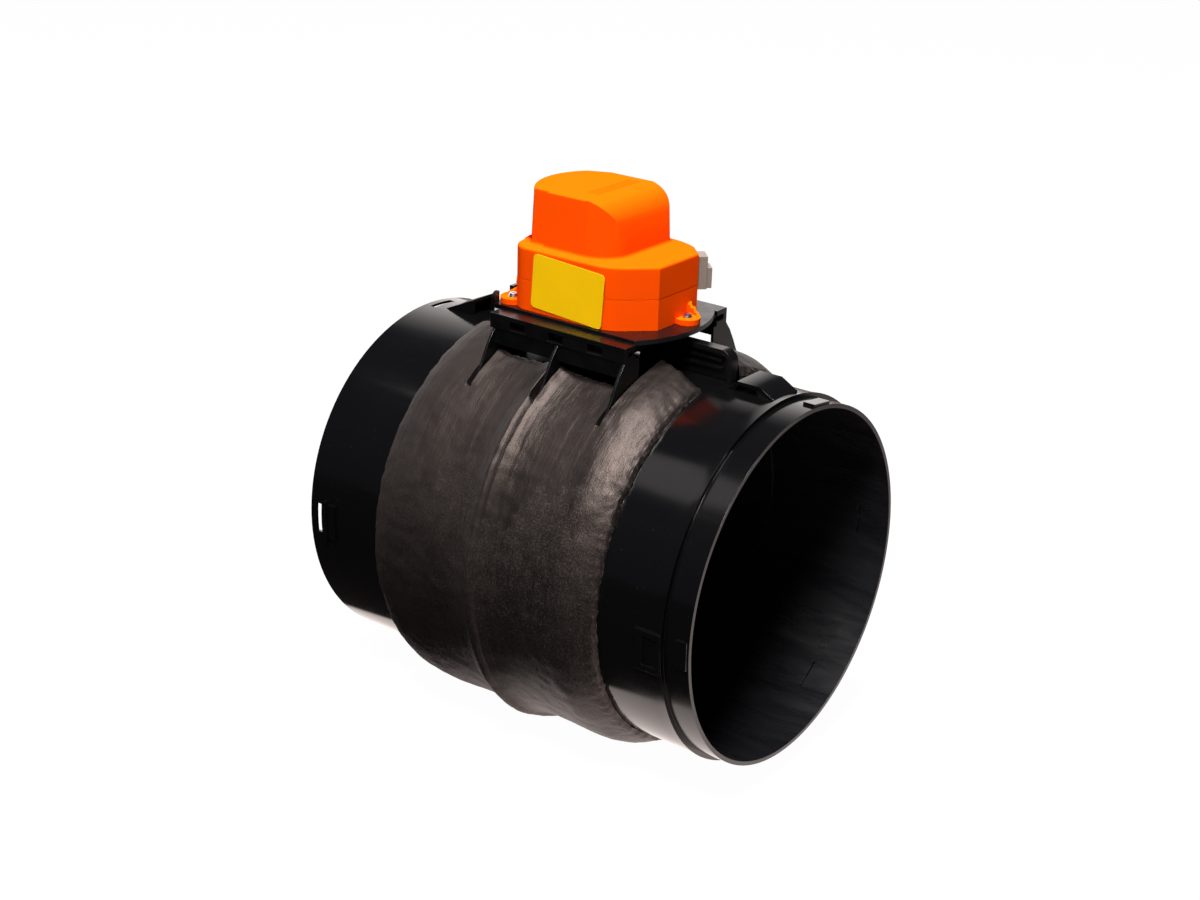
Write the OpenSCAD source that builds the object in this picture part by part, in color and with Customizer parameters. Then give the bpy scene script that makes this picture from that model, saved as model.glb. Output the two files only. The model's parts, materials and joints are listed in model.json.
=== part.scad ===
// Motorized damper for a 200 mm round duct.
// The barrel's axis is X, the blade's shaft stands along Z and the motor case sits on top.
// The origin is the centre of the inlet socket's mouth. Front means -Y.

/* [Barrel] */
// Length of the barrel from rim to rim
barrel_len = 255.3; // [250:0.1:290]
// Outer radius of the barrel
barrel_r = 100; // [99.6:0.1:100.8]
// Wall of the middle barrel
barrel_wall = 5; // [4.6:0.1:5.4]
// Wall of the two end collars
collar_wall = 4; // [3.6:0.1:4.2]
// Wall of the inlet socket that takes the next duct's spigot
rim_wall = 1.5; // [1.2:0.05:1.55]
// Depth of the inlet socket
socket_depth = 16; // [14:0.5:18]
// Step from the barrel down to the outlet spigot
spigot_step = 1.7; // [1.65:0.05:2]
// Length of the outlet spigot
spigot_len = 15; // [12:0.5:18]
// Height of the flared lip where the spigot starts
bead_h = 0.7; // [0.6:0.05:1.2]
// Width of the flared lip
bead_w = 6.6; // [5:0.1:8]
// Half the length of the middle barrel without its tongues
body_half = 43; // [41:0.5:44]
// Length of the lap joints between the three barrel mouldings
lap_len = 8; // [5:0.5:10]
// Wall of the collars over the lap tongues
lap_t = 2; // [1.8:0.1:2.4]
// Height of the stiffening rib round the middle
waist_h = 4; // [2:0.5:5]
// Width of the stiffening rib
waist_w = 4; // [3:0.5:5]

/* [Duct joints] */
// Width across a latch slot, along the duct
slot_w = 3.8; // [2:0.1:5]
// Length of a latch slot round the barrel
slot_len = 17; // [12:0.5:20]
// Distance of the latch slots from the inlet rim
slot_inset = 4; // [3:0.1:6]
// Height of the raised latch ribs on the inlet side
latch_h = 2.2; // [1:0.1:3]
// Wall of the latch ribs and frames
latch_t = 1.8; // [1.2:0.1:2]
// Length of the latch frames on the outlet side, along the duct
frame_len = 15; // [13:0.5:16]
// Length of the latch frames round the barrel
frame_w = 22.5; // [20:0.5:24]
// Height of the latch frames
frame_h = 1.6; // [1:0.1:2]
// Height of the catches on the spigot
catch_h = 1.2; // [0.6:0.1:1.6]
// Height of the wedge-shaped hood on the inlet side
hood_h = 9; // [6:0.5:10]
// Length of the wedge-shaped hood along the duct
hood_len = 20; // [16:0.5:22]
// Width of the wedge-shaped hood across the duct
hood_w = 19; // [16:0.5:22]
// Wall of the two hoods
hood_t = 2; // [1.6:0.1:2.4]
// Height of the bridge-shaped hood on the outlet side
bridge_hood_h = 5.4; // [4.4:0.2:6.4]
// Length of the bridge-shaped hood along the duct
bridge_hood_len = 31; // [29:0.5:32]
// Width of the bridge-shaped hood across the duct
bridge_hood_w = 21.5; // [18:0.5:23]

/* [Foam wrap] */
// Thickness of the foam sheet
foam_t = 9.8; // [7:0.2:10]
// Extra thickness of the ridge over the stiffening rib
foam_ridge = 4; // [2:0.5:5]
// Distance of the foam's left edge from the middle
foam_left = 76; // [70:0.5:80]
// Distance of the foam's right edge from the middle
foam_right = 73; // [68:0.5:76]

/* [Rails] */
// Half the distance between the rails' outer faces
rail_y = 45.9; // [45.6:0.1:48]
// Height of the rails' top face above the barrel
rail_rise = 23.8; // [22.6:0.1:27]
// Half the length of a rail
rail_half = 44.8; // [44:0.1:47]
// Width of the lip that holds the motor plate
lip_w = 9.4; // [8:0.1:10]
// Thickness of the lip
lip_t = 2.7; // [2:0.1:3]
// Height of the slot under the lip
rail_slot_h = 3.1; // [2.6:0.1:3.6]
// Thickness of a rail's outer wall
rail_wall = 3; // [2:0.1:3.2]
// Thickness of the gusset plates
gusset_t = 1.6; // [1.2:0.1:2.4]

/* [Blade] */
// Gap between the blade's two discs and the bore
disc_gap = 2.5; // [2.3:0.1:4]
// Thickness of one disc
disc_t = 3.2; // [2:0.1:4]
// Gap between the rubber seal and the bore
seal_gap = 0.3; // [0.2:0.05:0.8]
// Thickness of the rubber seal
seal_t = 1.9; // [1.5:0.1:2.5]
// Radius of the blade's shaft
shaft_r = 5; // [4:0.1:6]
// Radius of the hub on each disc
hub_r = 9; // [8:0.1:10]
// Opening angle of the blade in degrees
blade_travel = 90; // [60:1:90]

/* [Motor case] */
// Half the depth of the case, front to back
case_y = 34; // [33:0.1:35]
// Distance of the case's left wall from the shaft
case_left = 42; // [41:0.1:44]
// Distance of the case's right wall from the shaft
case_right = 43; // [42:0.1:44]
// Height of the base moulding
base_h = 16.8; // [16.6:0.1:18]
// Height of the cover's lower part
cover_h = 17.2; // [17:0.1:18]
// Height of the dome above the cover's lower part
dome_h = 30.5; // [28:0.5:34]
// Wall of the case
case_wall = 2.2; // [1.8:0.1:2.4]
// Thickness of the motor plate
plate_t = 2.6; // [2.2:0.1:3]
// Radius of the motor can
can_r = 23.5; // [22:0.1:24]
// Height of the motor can
can_h = 30; // [26:0.5:32]

/* [Gears] */
// Module of the output pair
slow_m = 1; // [0.9:0.05:1]
// Module of the motor pair
fast_m = 0.8; // [0.7:0.05:0.8]
// Teeth of the output gear
output_teeth = 36; // [36:3:36]
// Teeth of the idler's small gear
idler_small_teeth = 12; // [12:1:12]
// Teeth of the idler's large gear
idler_large_teeth = 30; // [30:1:30]
// Teeth of the motor pinion
pinion_teeth = 10; // [10:1:10]

/* [Hidden] */

// Clearances, and one overrun for all cuts
over = 2;
seat_gap = 0.15;
free_gap = 0.3;
run_gap = 0.05;
small_gap = 0.05;

// Barrel
mid_x = barrel_len / 2;
lip_x = mid_x - spigot_len;
bore_r = barrel_r - barrel_wall;
collar_bore_r = barrel_r - collar_wall;
socket_r = barrel_r - rim_wall;
spigot_r = barrel_r - spigot_step;
bead_r = barrel_r + bead_h;
lap_r = barrel_r - lap_t;
waist_r = barrel_r + waist_h;
disc_r = bore_r - disc_gap;
seal_r = bore_r - seal_gap;
rail_z = barrel_r + rail_rise;
latch_angles = [0, 180, 237, 303];
rib_angles = [0, 180];
frame_angles = [-3, 183];
catch_angles = [-1, 181, 82];
fine = 180;
waist_groove = waist_r + seat_gap;

// Tower and foot of the shaft
tower_r = 13;
tower_h = 9;
foot_h = 6;
tower_top = barrel_r + tower_h;
foot_low = barrel_r + foot_h;
bush_r = 8;
bush_flange_r = 10.5;
bush_flange_t = 1.6;
head_r = 9.5;
head_h = 8;
head_top = tower_top + head_h;
tongue_w = 5;
tongue_h = 5;
shaft_low = foot_low - foot_h / 2;
cap_t = 2.4;

// Stop ribs in the bore, one on each side of the seal
stop_h = 2;
stop_w = 3;
stop_clear = 12;

// Rails
slot_floor_z = rail_z - lip_t - rail_slot_h;
floor_t = 2.5;
band_h = 8.3;
wall_h = 8.5;
wall_low = rail_z - band_h - wall_h;
wall_back = 0.5;
window_w = 10;
window_h = 4.4;
window_pitch = 25.7;
rail_shift = 0.6;
gusset_inset = 2;
gusset_mid = 0.5;
gusset_in_w = 12.3;
gusset_in = rail_y - gusset_in_w;
gusset_reach = 20.1;
gusset_out = rail_y + gusset_reach;
gusset_low_share = 0.6;
gusset_low = barrel_r * gusset_low_share;

// Ribbed box beside the shaft's tower
box_left = 20;
box_right = lip_x - 1.4 * hood_t - bridge_hood_len - free_gap - small_gap;
box_front = 2;
box_d = 18;
box_back = box_front + box_d;
box_h = 17.2;
box_top = barrel_r + box_h;
box_r = 7;
box_rim = 2.6;
box_recess = 3.2;
box_rib_h = 1.5;
box_rib_pitch = 4.6;

// Foam
foam_in_r = barrel_r + seat_gap;
foam_out_r = barrel_r + foam_t;
foam_front_end = 99;
foam_back_end = 78;
foam_edge = 11;
foam_step = 7;
foam_dip = 1.2;
foam_trim_w = 9.9;
foam_trim_y = rail_y - foam_trim_w;
foam_trim_x = rail_half + rail_shift + free_gap * 2;
foam_box_gap = 1;

// Motor plate
plate_clear = 0.3;
flange_z = slot_floor_z + plate_clear;
flange_t = rail_slot_h - 2 * plate_clear;
flange_side_gap = 0.4;
flange_y = rail_y - rail_wall - flange_side_gap;
pad_y = rail_y - lip_w - plate_clear;
plate_rise = 1.5;
plate_top = rail_z + plate_rise;
plate_arc_r = 59;
plate_arc_x = -3;
plate_over = 6.7;
plate_left = rail_half + plate_over;
tab_t = 2.3;
tab_h = 6;
tab_r = 3.5;
tab_w = 4;
lug_y = 14;
lug_w = 7;
plate_hole_r = 10;

// Case
base_z = plate_top + small_gap;
part_z = base_z + base_h;
shelf_z = part_z + cover_h;
dome_z = shelf_z + dome_h;
left_round = 12;
chamfer_x = 30;
chamfer_y = 28;
flat_y = 15;
back_chamfer_x = 34;
back_chamfer_y = 29;
back_flat_y = 20;
front_x = 15;
floor_z = base_z + case_wall;
post_r = 3.6;
post_hole_r = 1.3;
post_left = 33.5;
post_right = 23.5;
post_y_left = 24.5;
post_y_right = 25.5;

// Dome
dome_front = 28.6;
dome_back = 29.6;
dome_arc_r = 37;
dome_arc_x = -6.4;
dome_right = 20.2;
dome_corner = 16.5;
dome_back_corner = 6;
dome_step_x = 22.1;
dome_step = 2;
roll_start = 2;
roll_r = 17;
roll_lean = 1.6;
dome_draft_share = 0.965;
grip_pitch = 1.6;
grip_h = 0.4;
grip_w = 0.8;
grip_len = 11;
grip_front = 14;

// Ears
ear_r = 6.9;
ear_t = 2.9;
right_ear = [46.2, 7];
left_ear = [-44, -27];
clip_ear = [-44.6, -13];
clip_lift = 7.15;
clip_z = base_z + clip_lift;
fin_t = 1.6;
fin_h = 6.5;
ear_hole_r = 1.6;
screw_head_r = 2.8;
screw_head_h = 1.9;
screw_r = 1.5;

// Label
label_w = 46.7;
label_h = 29.6;
label_t = 0.4;
label_tilt = 3.5;
label_x = -1.75;
label_lift = 16.25;
label_z = base_z + label_lift;
label_r = 2.5;

// Gears
press_angle = 25;
tooth_slack = 0.05;
idler_turn = 156.4;
pinion_turn = -60;
slow_centres = slow_m * (output_teeth + idler_small_teeth) / 2;
fast_centres = fast_m * (idler_large_teeth + pinion_teeth) / 2;
idler_x = slow_centres * cos(idler_turn);
idler_y = slow_centres * sin(idler_turn);
pinion_x = idler_x + fast_centres * cos(pinion_turn);
pinion_y = idler_y + fast_centres * sin(pinion_turn);
gear_lift = 1.3;
gear_z = floor_z + gear_lift;
slow_w = 5;
fast_w = 4;
level_gap = 0.8;
fast_z = gear_z + slow_w + level_gap;
gear_hub_r = 7;
upper_hub_r = 5.6;
cam_z = fast_z + fast_w + 2.6;
cam_t = 5;
cam_r = 8;
lobe_r = 10.5;
lobe_arc = 32;
axle_r = 1.5;
pinion_shaft_r = 1.2;

// Bridge that carries the motor
bridge_lift = 2.75;
bridge_z = cam_z + cam_t + bridge_lift;
bridge_t = 1.5;
bridge_left = 36;
bridge_right = 15;
bridge_y = 30;
bridge_post_x_left = -24;
bridge_post_x_right = 2;
bridge_post_y = 27.5;
ear_len = 6;
stub_r = 3;

// Board, switches and socket
board_drop = 2.65;
board_z = cam_z - board_drop;
board_t = 1.6;
board_left = 9;
board_right = 36;
board_y = 19.5;
board_notch_r = 13;
board_corner_r = 3;
board_post_x = 32.5;
board_post_y = 14.5;
switch_w = 20;
switch_d = 9.5;
switch_h = 6.2;
switch_in = 12.9;
plunger_r = 1.1;
plunger_out = 1.9;
plunger_travel = 0.7;
socket_turn = atan2(case_right - back_chamfer_x, back_chamfer_y - back_flat_y);
socket_in = 5;
socket_proud = 5.1;
socket_nose_len = 2.7;
socket_w = 10.4;
socket_lift = 13.65;
socket_low = base_z + socket_lift;
socket_chin = 0.5;
socket_nose = socket_low + socket_chin;
socket_nose_h = 11.2;
socket_step = socket_nose + socket_nose_h;
socket_brow = 6.3;
socket_top = socket_step + socket_brow;
socket_wall = 1;
pin_w = 1;
pin_count = 3;

// Places a child in the barrel-centred frame that all values above use
module mid() {
    translate([mid_x, 0, 0]) children();
}

// Revolves a [radius, x] outline about the duct's axis
module spin_x() {
    rotate([0, 90, 0]) rotate_extrude($fn = fine) children();
}

// Revolves a [radius, x] outline from angle a0 to a1, counted from +Y towards +Z
module spin_arc(a0, a1) {
    rotate([0, 90, 0]) rotate([0, 0, a0 + 90]) rotate_extrude(angle = a1 - a0, $fn = fine) children();
}

// Extrudes an outline drawn in [y, z] along X
module along_x(x0, x1) {
    translate([x0, 0, 0]) rotate([90, 0, 90]) linear_extrude(x1 - x0) children();
}

// Extrudes an outline drawn in [x, z] along Y
module along_y(y0, y1) {
    translate([0, y1, 0]) rotate([90, 0, 0]) linear_extrude(y1 - y0) children();
}

// Block on the barrel's surface at an angle: x0 to x1, radius r0 to r1, tangential width w
module barrel_block(angle, x0, x1, r0, r1, w) {
    rotate([angle, 0, 0]) translate([x0, r0, -w / 2]) cube([x1 - x0, r1 - r0, w]);
}

function arc_points(cx, cy, r, a0, a1, n) =
    [for (i = [0:n]) [cx + r * cos(a0 + (a1 - a0) * i / n), cy + r * sin(a0 + (a1 - a0) * i / n)]];

// Wedge-shaped hood that rises along +X and is open at its tall end
module key_hood(x_low) {
    x_high = x_low + hood_len;
    y0 = -hood_w * 0.12;
    low = barrel_r - hood_t;
    difference() {
        along_y(y0, y0 + hood_w)
            polygon([[x_low, low], [x_high, low], [x_high, barrel_r + hood_h], [x_low, barrel_r]]);
        along_y(y0 + hood_t, y0 + hood_w - hood_t)
            polygon([[x_low + hood_t * 2, low - over], [x_high + over, low - over],
                [x_high + over, barrel_r + hood_h - hood_t],
                [x_high, barrel_r + hood_h - hood_t], [x_low + hood_t * 2, barrel_r - hood_t]]);
    }
}

// Bridge-shaped hood that slopes down to x_end, open in front and behind
module bridge_hood(x_end) {
    low = barrel_r - hood_t;
    top = barrel_r + bridge_hood_h;
    ridge = x_end - bridge_hood_len * 0.31;
    left = x_end - bridge_hood_len;
    y0 = -bridge_hood_w * 0.21;
    along_y(y0, y0 + bridge_hood_w) difference() {
        polygon([[left, low], [left + bridge_hood_len * 0.18, top - hood_t],
            [left + bridge_hood_len * 0.25, top], [ridge, top], [x_end, barrel_r], [x_end, low]]);
        polygon([[left + hood_t * 2.2, low - over], [left + bridge_hood_len * 0.27, top - hood_t],
            [ridge - hood_t / 3, top - hood_t], [x_end - hood_t * 2, barrel_r - hood_t / 5],
            [x_end - hood_t * 2, low - over]]);
    }
}

// Raised frame round a shallow pocket
module latch_frame(angle, x0, x1, w) {
    difference() {
        barrel_block(angle, x0, x1, barrel_r - latch_t, barrel_r + frame_h, w);
        barrel_block(angle, x0 + 2.3 * latch_t, x1 - 1.3 * latch_t, barrel_r + frame_h / 4,
            barrel_r + frame_h + over, w - 3.4 * latch_t);
    }
}

module collar_clear() {
    // Keeps what stands on a collar out of its bore
    rotate([0, 90, 0]) translate([0, 0, -barrel_len])
        cylinder(r = collar_bore_r, h = 2 * barrel_len, $fn = fine);
}

module inlet_collar() {
    slot_x = -mid_x + slot_inset;
    color("#1b1b1d") mid() difference() {
        union() {
            spin_x() polygon([[socket_r, -mid_x], [barrel_r, -mid_x], [barrel_r, -body_half],
                [lap_r + seat_gap, -body_half], [lap_r + seat_gap, -body_half - lap_len - seat_gap],
                [collar_bore_r, -body_half - lap_len - seat_gap],
                [collar_bore_r, -mid_x + socket_depth], [socket_r, -mid_x + socket_depth]]);
            for (a = rib_angles) {
                latch_x = slot_x + 2 * slot_w;
                barrel_block(a, latch_x, latch_x + latch_t, barrel_r - latch_t,
                    barrel_r + latch_h, slot_len * 1.4);
                barrel_block(a, latch_x, latch_x + 2 * slot_w, barrel_r - latch_t,
                    barrel_r + latch_h / 2, slot_len * 1.2);
            }
            key_hood(slot_x + 2.6 * slot_w);
        }
        for (a = concat(latch_angles, [88]))
            barrel_block(a, slot_x, slot_x + slot_w, barrel_r - 2 * hood_t, barrel_r + over, slot_len);
        // Keeps the feet of the hood and the ribs out of the socket
        rotate([0, 90, 0]) translate([0, 0, -mid_x - over])
            cylinder(r = socket_r, h = socket_depth + over, $fn = fine);
    }
}

module outlet_collar() {
    slit_x = lip_x - 1.2 * slot_w;
    color("#1b1b1d") mid() difference() {
        union() {
            spin_x() polygon([[lap_r + seat_gap, body_half], [barrel_r, body_half],
                [barrel_r, lip_x - bead_w], [bead_r, lip_x],
                [spigot_r, lip_x], [spigot_r, mid_x], [collar_bore_r, mid_x],
                [collar_bore_r, body_half + lap_len + seat_gap],
                [lap_r + seat_gap, body_half + lap_len + seat_gap]]);
            for (a = frame_angles)
                latch_frame(a, lip_x - frame_len - free_gap, lip_x - free_gap, frame_w);
            for (a = catch_angles)
                barrel_block(a, lip_x + spigot_len / 2, lip_x + spigot_len * 0.95,
                    spigot_r - catch_h, spigot_r + catch_h, slot_len * 0.9);
            bridge_hood(lip_x - 1.4 * hood_t);
        }
        collar_clear();
        // Core slits near the lip, cut from inside
        for (a = latch_angles)
            barrel_block(a, slit_x, slit_x + slot_w / 4,
                collar_bore_r - over, collar_bore_r + latch_t, slot_len);
    }
}

// Half ring that the seal closes against; side is +1 for the one in front of the outlet
module stop_rib(side) {
    x0 = side * (seal_t / 2 + free_gap);
    x1 = x0 + side * stop_w;
    intersection() {
        spin_x() polygon([[bore_r - stop_h, x0], [bore_r + stop_w / 2, x0],
            [bore_r + stop_w / 2, x1], [bore_r - stop_h, x1]]);
        translate([-barrel_r, side > 0 ? stop_clear : -stop_clear - 2 * barrel_r, -barrel_r])
            cube([2 * barrel_r, 2 * barrel_r, 2 * barrel_r]);
    }
}

module middle_barrel() {
    color("#1b1b1d") mid() difference() {
        union() {
            spin_x() polygon([[bore_r, -body_half - lap_len], [lap_r, -body_half - lap_len],
                [lap_r, -body_half], [barrel_r, -body_half], [barrel_r, -waist_w / 2],
                [waist_r, -waist_w / 2], [waist_r, waist_w / 2], [barrel_r, waist_w / 2],
                [barrel_r, body_half], [lap_r, body_half], [lap_r, body_half + lap_len],
                [bore_r, body_half + lap_len]]);
            stop_rib(1);
            stop_rib(-1);
            difference() {
                union() {
                    translate([0, 0, barrel_r - tower_r / 4])
                        cylinder(r = tower_r, h = tower_top - barrel_r + tower_r / 4, $fn = 96);
                    translate([0, 0, -foot_low])
                        cylinder(r = tower_r, h = foot_low - barrel_r + tower_r / 4, $fn = 96);
                }
                rotate([0, 90, 0]) translate([0, 0, -barrel_r])
                    cylinder(r = bore_r, h = 2 * barrel_r, $fn = fine);
            }
        }
        translate([0, 0, -2 * barrel_r]) cylinder(r = bush_r + small_gap, h = 4 * barrel_r, $fn = 96);
    }
}

// Left faces of the three gussets
gusset_places = [rail_shift - rail_half + gusset_inset, gusset_mid, rail_shift + rail_half - gusset_t];

// One rail with its three gussets, drawn at +Y
module rail() {
    lip_in = rail_y - lip_w;
    left = rail_shift - rail_half;
    right = rail_shift + rail_half;
    difference() {
        union() {
            along_x(left, right) polygon([[lip_in, rail_z - lip_t], [lip_in, rail_z],
                [rail_y, rail_z], [rail_y, rail_z - band_h], [lip_in, rail_z - band_h],
                [lip_in, slot_floor_z], [rail_y - rail_wall, slot_floor_z],
                [rail_y - rail_wall, rail_z - lip_t]]);
            along_x(left + gusset_inset, right - gusset_t / 2)
                polygon([[rail_y - rail_wall, wall_low], [rail_y - wall_back, wall_low],
                    [rail_y - wall_back, rail_z - band_h], [rail_y - rail_wall, rail_z - band_h]]);
            for (x = gusset_places)
                along_x(x, x + gusset_t) gusset_outline();
        }
        for (x = [-window_pitch, 0, window_pitch])
            translate([x - window_w / 2, rail_y - rail_wall - over, rail_z - lip_t - window_h])
                cube([window_w, rail_wall + 2 * over, window_h]);
        rotate([0, 90, 0]) translate([0, 0, -barrel_r])
            cylinder(r = barrel_r + seat_gap, h = 2 * barrel_r, $fn = fine);
        rotate([0, 90, 0]) translate([0, 0, -waist_w / 2 - seat_gap])
            cylinder(r = waist_groove, h = waist_w + 2 * seat_gap, $fn = fine);
    }
}

// Gusset outline in [y, z]: a convex outer edge that runs down to the barrel
module gusset_outline() {
    rise = rail_z - band_h - gusset_low;
    run = gusset_out - rail_y;
    polygon([[gusset_in, gusset_low], [gusset_in, rail_z - band_h],
        [rail_y, rail_z - band_h], [rail_y + run * 0.2, rail_z - band_h - rise * 0.09],
        [rail_y + run * 0.41, rail_z - band_h - rise * 0.22],
        [rail_y + run * 0.56, rail_z - band_h - rise * 0.33],
        [rail_y + run * 0.76, rail_z - band_h - rise * 0.44], [gusset_out, gusset_low + rise * 0.37],
        [gusset_out, gusset_low]]);
}

module front_rail() {
    color("#1e1e20") mid() mirror([0, 1, 0]) rail();
}

module rear_rail() {
    color("#1e1e20") mid() rail();
}

// Outline in [x, z] with two round corners at its right end
module box_outline(inset) {
    low = barrel_r / 2;
    right = box_right - inset;
    top = box_top - inset;
    r = box_r - inset;
    polygon(concat([[box_left + inset, low]], [[right, low]],
        arc_points(right - r, top - r, r, 0, 90, 10), [[box_left + inset, top]]));
}

module ribbed_box() {
    floor_y = box_front + box_recess;
    first_rib = box_top - box_rim - box_rib_pitch;
    color("#1e1e20") mid() difference() {
        union() {
            difference() {
                along_y(box_front, box_back) box_outline(0);
                along_y(box_front - over, floor_y) box_outline(box_rim);
            }
            for (i = [0:1])
                translate([box_left, box_front + box_recess / 3, first_rib - i * box_rib_pitch])
                    cube([box_right - box_left - box_r, box_recess, box_rib_h]);
        }
        rotate([0, 90, 0]) translate([0, 0, -barrel_r])
            cylinder(r = barrel_r + seat_gap, h = 3 * barrel_r, $fn = fine);
    }
}

module foam_wrap() {
    color("#4a4442") mid() difference() {
        spin_arc(foam_front_end, 360 + foam_back_end)
            polygon([[foam_in_r, -foam_left], [foam_in_r + foam_t / 3, -foam_left],
                [foam_out_r - foam_t * 0.2, -foam_left + foam_edge * 0.55],
                [foam_out_r + foam_dip, -foam_left + foam_edge],
                [foam_out_r + foam_dip, -foam_left + 3 * foam_edge],
                [foam_out_r, -foam_step * 2], [foam_out_r + foam_ridge * 0.8, -foam_step * 0.7],
                [foam_out_r + foam_ridge, 0], [foam_out_r + foam_ridge * 0.4, foam_step * 0.5],
                [foam_out_r, foam_step * 2], [foam_out_r - foam_dip, foam_right * 0.4],
                [foam_out_r, foam_right - foam_edge], [foam_out_r - foam_dip, foam_right - foam_step],
                [foam_in_r + foam_t / 3, foam_right], [foam_in_r, foam_right]]);
        spin_x() polygon([[foam_in_r - over, -waist_w / 2 - seat_gap],
            [waist_groove, -waist_w / 2 - seat_gap], [waist_groove, waist_w / 2 + seat_gap],
            [foam_in_r - over, waist_w / 2 + seat_gap]]);
        // Room for the motor mount between the rails
        translate([-foam_trim_x, -foam_trim_y, 0])
            cube([2 * foam_trim_x, 2 * foam_trim_y, 2 * barrel_r]);
        // Slits round the gussets
        for (x = gusset_places)
            translate([x - free_gap, -gusset_out - free_gap, 0])
                cube([gusset_t + 2 * free_gap, 2 * (gusset_out + free_gap), 2 * barrel_r]);
        // Clears the ribbed box
        translate([box_left, box_front - foam_box_gap, 0])
            cube([box_right - box_left + foam_box_gap, box_back - box_front + 2 * foam_box_gap,
                2 * barrel_r]);
        // Hole round the shaft's foot
        translate([0, 0, -2 * barrel_r]) cylinder(r = tower_r + foam_box_gap, h = 2 * barrel_r, $fn = 64);
    }
}

// Flanged bush from the bore to the end of its boss, along +Z
module bush(z_end) {
    difference() {
        union() {
            translate([0, 0, bore_r]) cylinder(r = bush_r, h = z_end - bore_r + small_gap, $fn = 96);
            translate([0, 0, z_end + small_gap]) cylinder(r = bush_flange_r, h = bush_flange_t, $fn = 96);
        }
        cylinder(r = shaft_r + run_gap, h = 2 * barrel_r, $fn = 96);
    }
}

module upper_bush() {
    color("#e8e6e0") mid() bush(tower_top);
}

module lower_bush() {
    color("#e8e6e0") mid() mirror([0, 0, 1]) bush(foot_low);
}

module shaft_cap() {
    top = -foot_low - small_gap - bush_flange_t - small_gap;
    color("#1b1b1d") mid() difference() {
        translate([0, 0, top - cap_t])
            cylinder(r = tower_r, h = cap_t + 2 * small_gap + bush_flange_t, $fn = 96);
        translate([0, 0, top]) cylinder(r = bush_flange_r + small_gap, h = 2 * bush_flange_t, $fn = 96);
    }
}

module blade_shaft() {
    head_low = tower_top + bush_flange_t + small_gap + free_gap;
    color("#b9bcc0") mid() difference() {
        union() {
            translate([0, 0, -shaft_low])
                cylinder(r = shaft_r, h = shaft_low + head_low + small_gap, $fn = 96);
            translate([0, 0, head_low]) cylinder(r = head_r, h = head_top - head_low, $fn = 96);
        }
        // Slot that the motor's tongue slides into along the duct
        translate([-2 * head_r, -tongue_w / 2 - free_gap / 2, head_top - tongue_h])
            cube([4 * head_r, tongue_w + free_gap, tongue_h + over]);
    }
}

rivet_angles = [25, 65, 115, 155, 205, 245, 295, 335];
rivet_r = 2;
rivet_head_r = 3.6;
rivet_head_h = 1;
clamp_w = 13;
clamp_in_r = disc_r - clamp_w;
rivet_ring_r = (clamp_in_r + disc_r) / 2;
rib_w = 2.5;
rib_h = 2.6;
rib_ring_in = 17.5;
rib_ring_r = clamp_in_r - rib_ring_in;

// Disc half that faces +X
module disc_half() {
    face = seal_t / 2 + disc_t;
    difference() {
        union() {
            spin_x() polygon([[0, 0], [clamp_in_r, 0], [clamp_in_r, seal_t / 2 + small_gap / 2],
                [disc_r, seal_t / 2 + small_gap / 2], [disc_r, face], [0, face]]);
            spin_x() polygon([[rib_ring_r, face - small_gap], [rib_ring_r + rib_w, face - small_gap],
                [rib_ring_r + rib_w, face + rib_h], [rib_ring_r, face + rib_h]]);
            for (z = [-rib_ring_r / 2, 0, rib_ring_r / 2])
                translate([face - small_gap, -rib_ring_r * 0.85, z - rib_w / 2])
                    cube([rib_h + small_gap, rib_ring_r * 1.7, rib_w]);
            intersection() {
                translate([0, 0, -disc_r + hub_r / 2]) cylinder(r = hub_r, h = 2 * disc_r - hub_r, $fn = 96);
                translate([0, -2 * hub_r, -barrel_r]) cube([2 * hub_r, 4 * hub_r, 2 * barrel_r]);
            }
        }
        translate([0, 0, -2 * barrel_r]) cylinder(r = shaft_r + small_gap, h = 4 * barrel_r, $fn = 96);
        // Half of the groove for the seal
        spin_x() polygon([[clamp_in_r, -over], [barrel_r, -over],
            [barrel_r, seal_t / 2 + small_gap / 2], [clamp_in_r, seal_t / 2 + small_gap / 2]]);
        for (a = rivet_angles)
            rotate([a, 0, 0]) translate([-over, rivet_ring_r, 0]) rotate([0, 90, 0])
                cylinder(r = rivet_r + small_gap, h = 4 * disc_t + over, $fn = 32);
    }
}

module outlet_disc() {
    color("#232325") mid() disc_half();
}

module inlet_disc() {
    color("#232325") mid() mirror([1, 0, 0]) disc_half();
}

module blade_seal() {
    color("#101010") mid() difference() {
        spin_x() polygon([[clamp_in_r + free_gap, -seal_t / 2], [seal_r, -seal_t / 2],
            [seal_r, seal_t / 2], [clamp_in_r + free_gap, seal_t / 2]]);
        translate([0, 0, -2 * barrel_r]) cylinder(r = shaft_r + small_gap, h = 4 * barrel_r, $fn = 96);
        for (a = rivet_angles)
            rotate([a, 0, 0]) translate([-over, rivet_ring_r, 0]) rotate([0, 90, 0])
                cylinder(r = rivet_r + small_gap, h = 2 * over, $fn = 32);
    }
}

module blade_rivets() {
    face = seal_t / 2 + disc_t + small_gap;
    color("#c9ccd0") mid() for (a = rivet_angles)
        rotate([a, 0, 0]) translate([0, rivet_ring_r, 0]) rotate([0, 90, 0]) {
            translate([0, 0, -face - rivet_head_h / 2])
                cylinder(r = rivet_r, h = 2 * face + rivet_head_h, $fn = 32);
            translate([0, 0, face]) cylinder(r = rivet_head_r, h = rivet_head_h, $fn = 32);
            translate([0, 0, -face - rivet_head_h]) cylinder(r = rivet_head_r, h = rivet_head_h, $fn = 32);
        }
}

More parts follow.
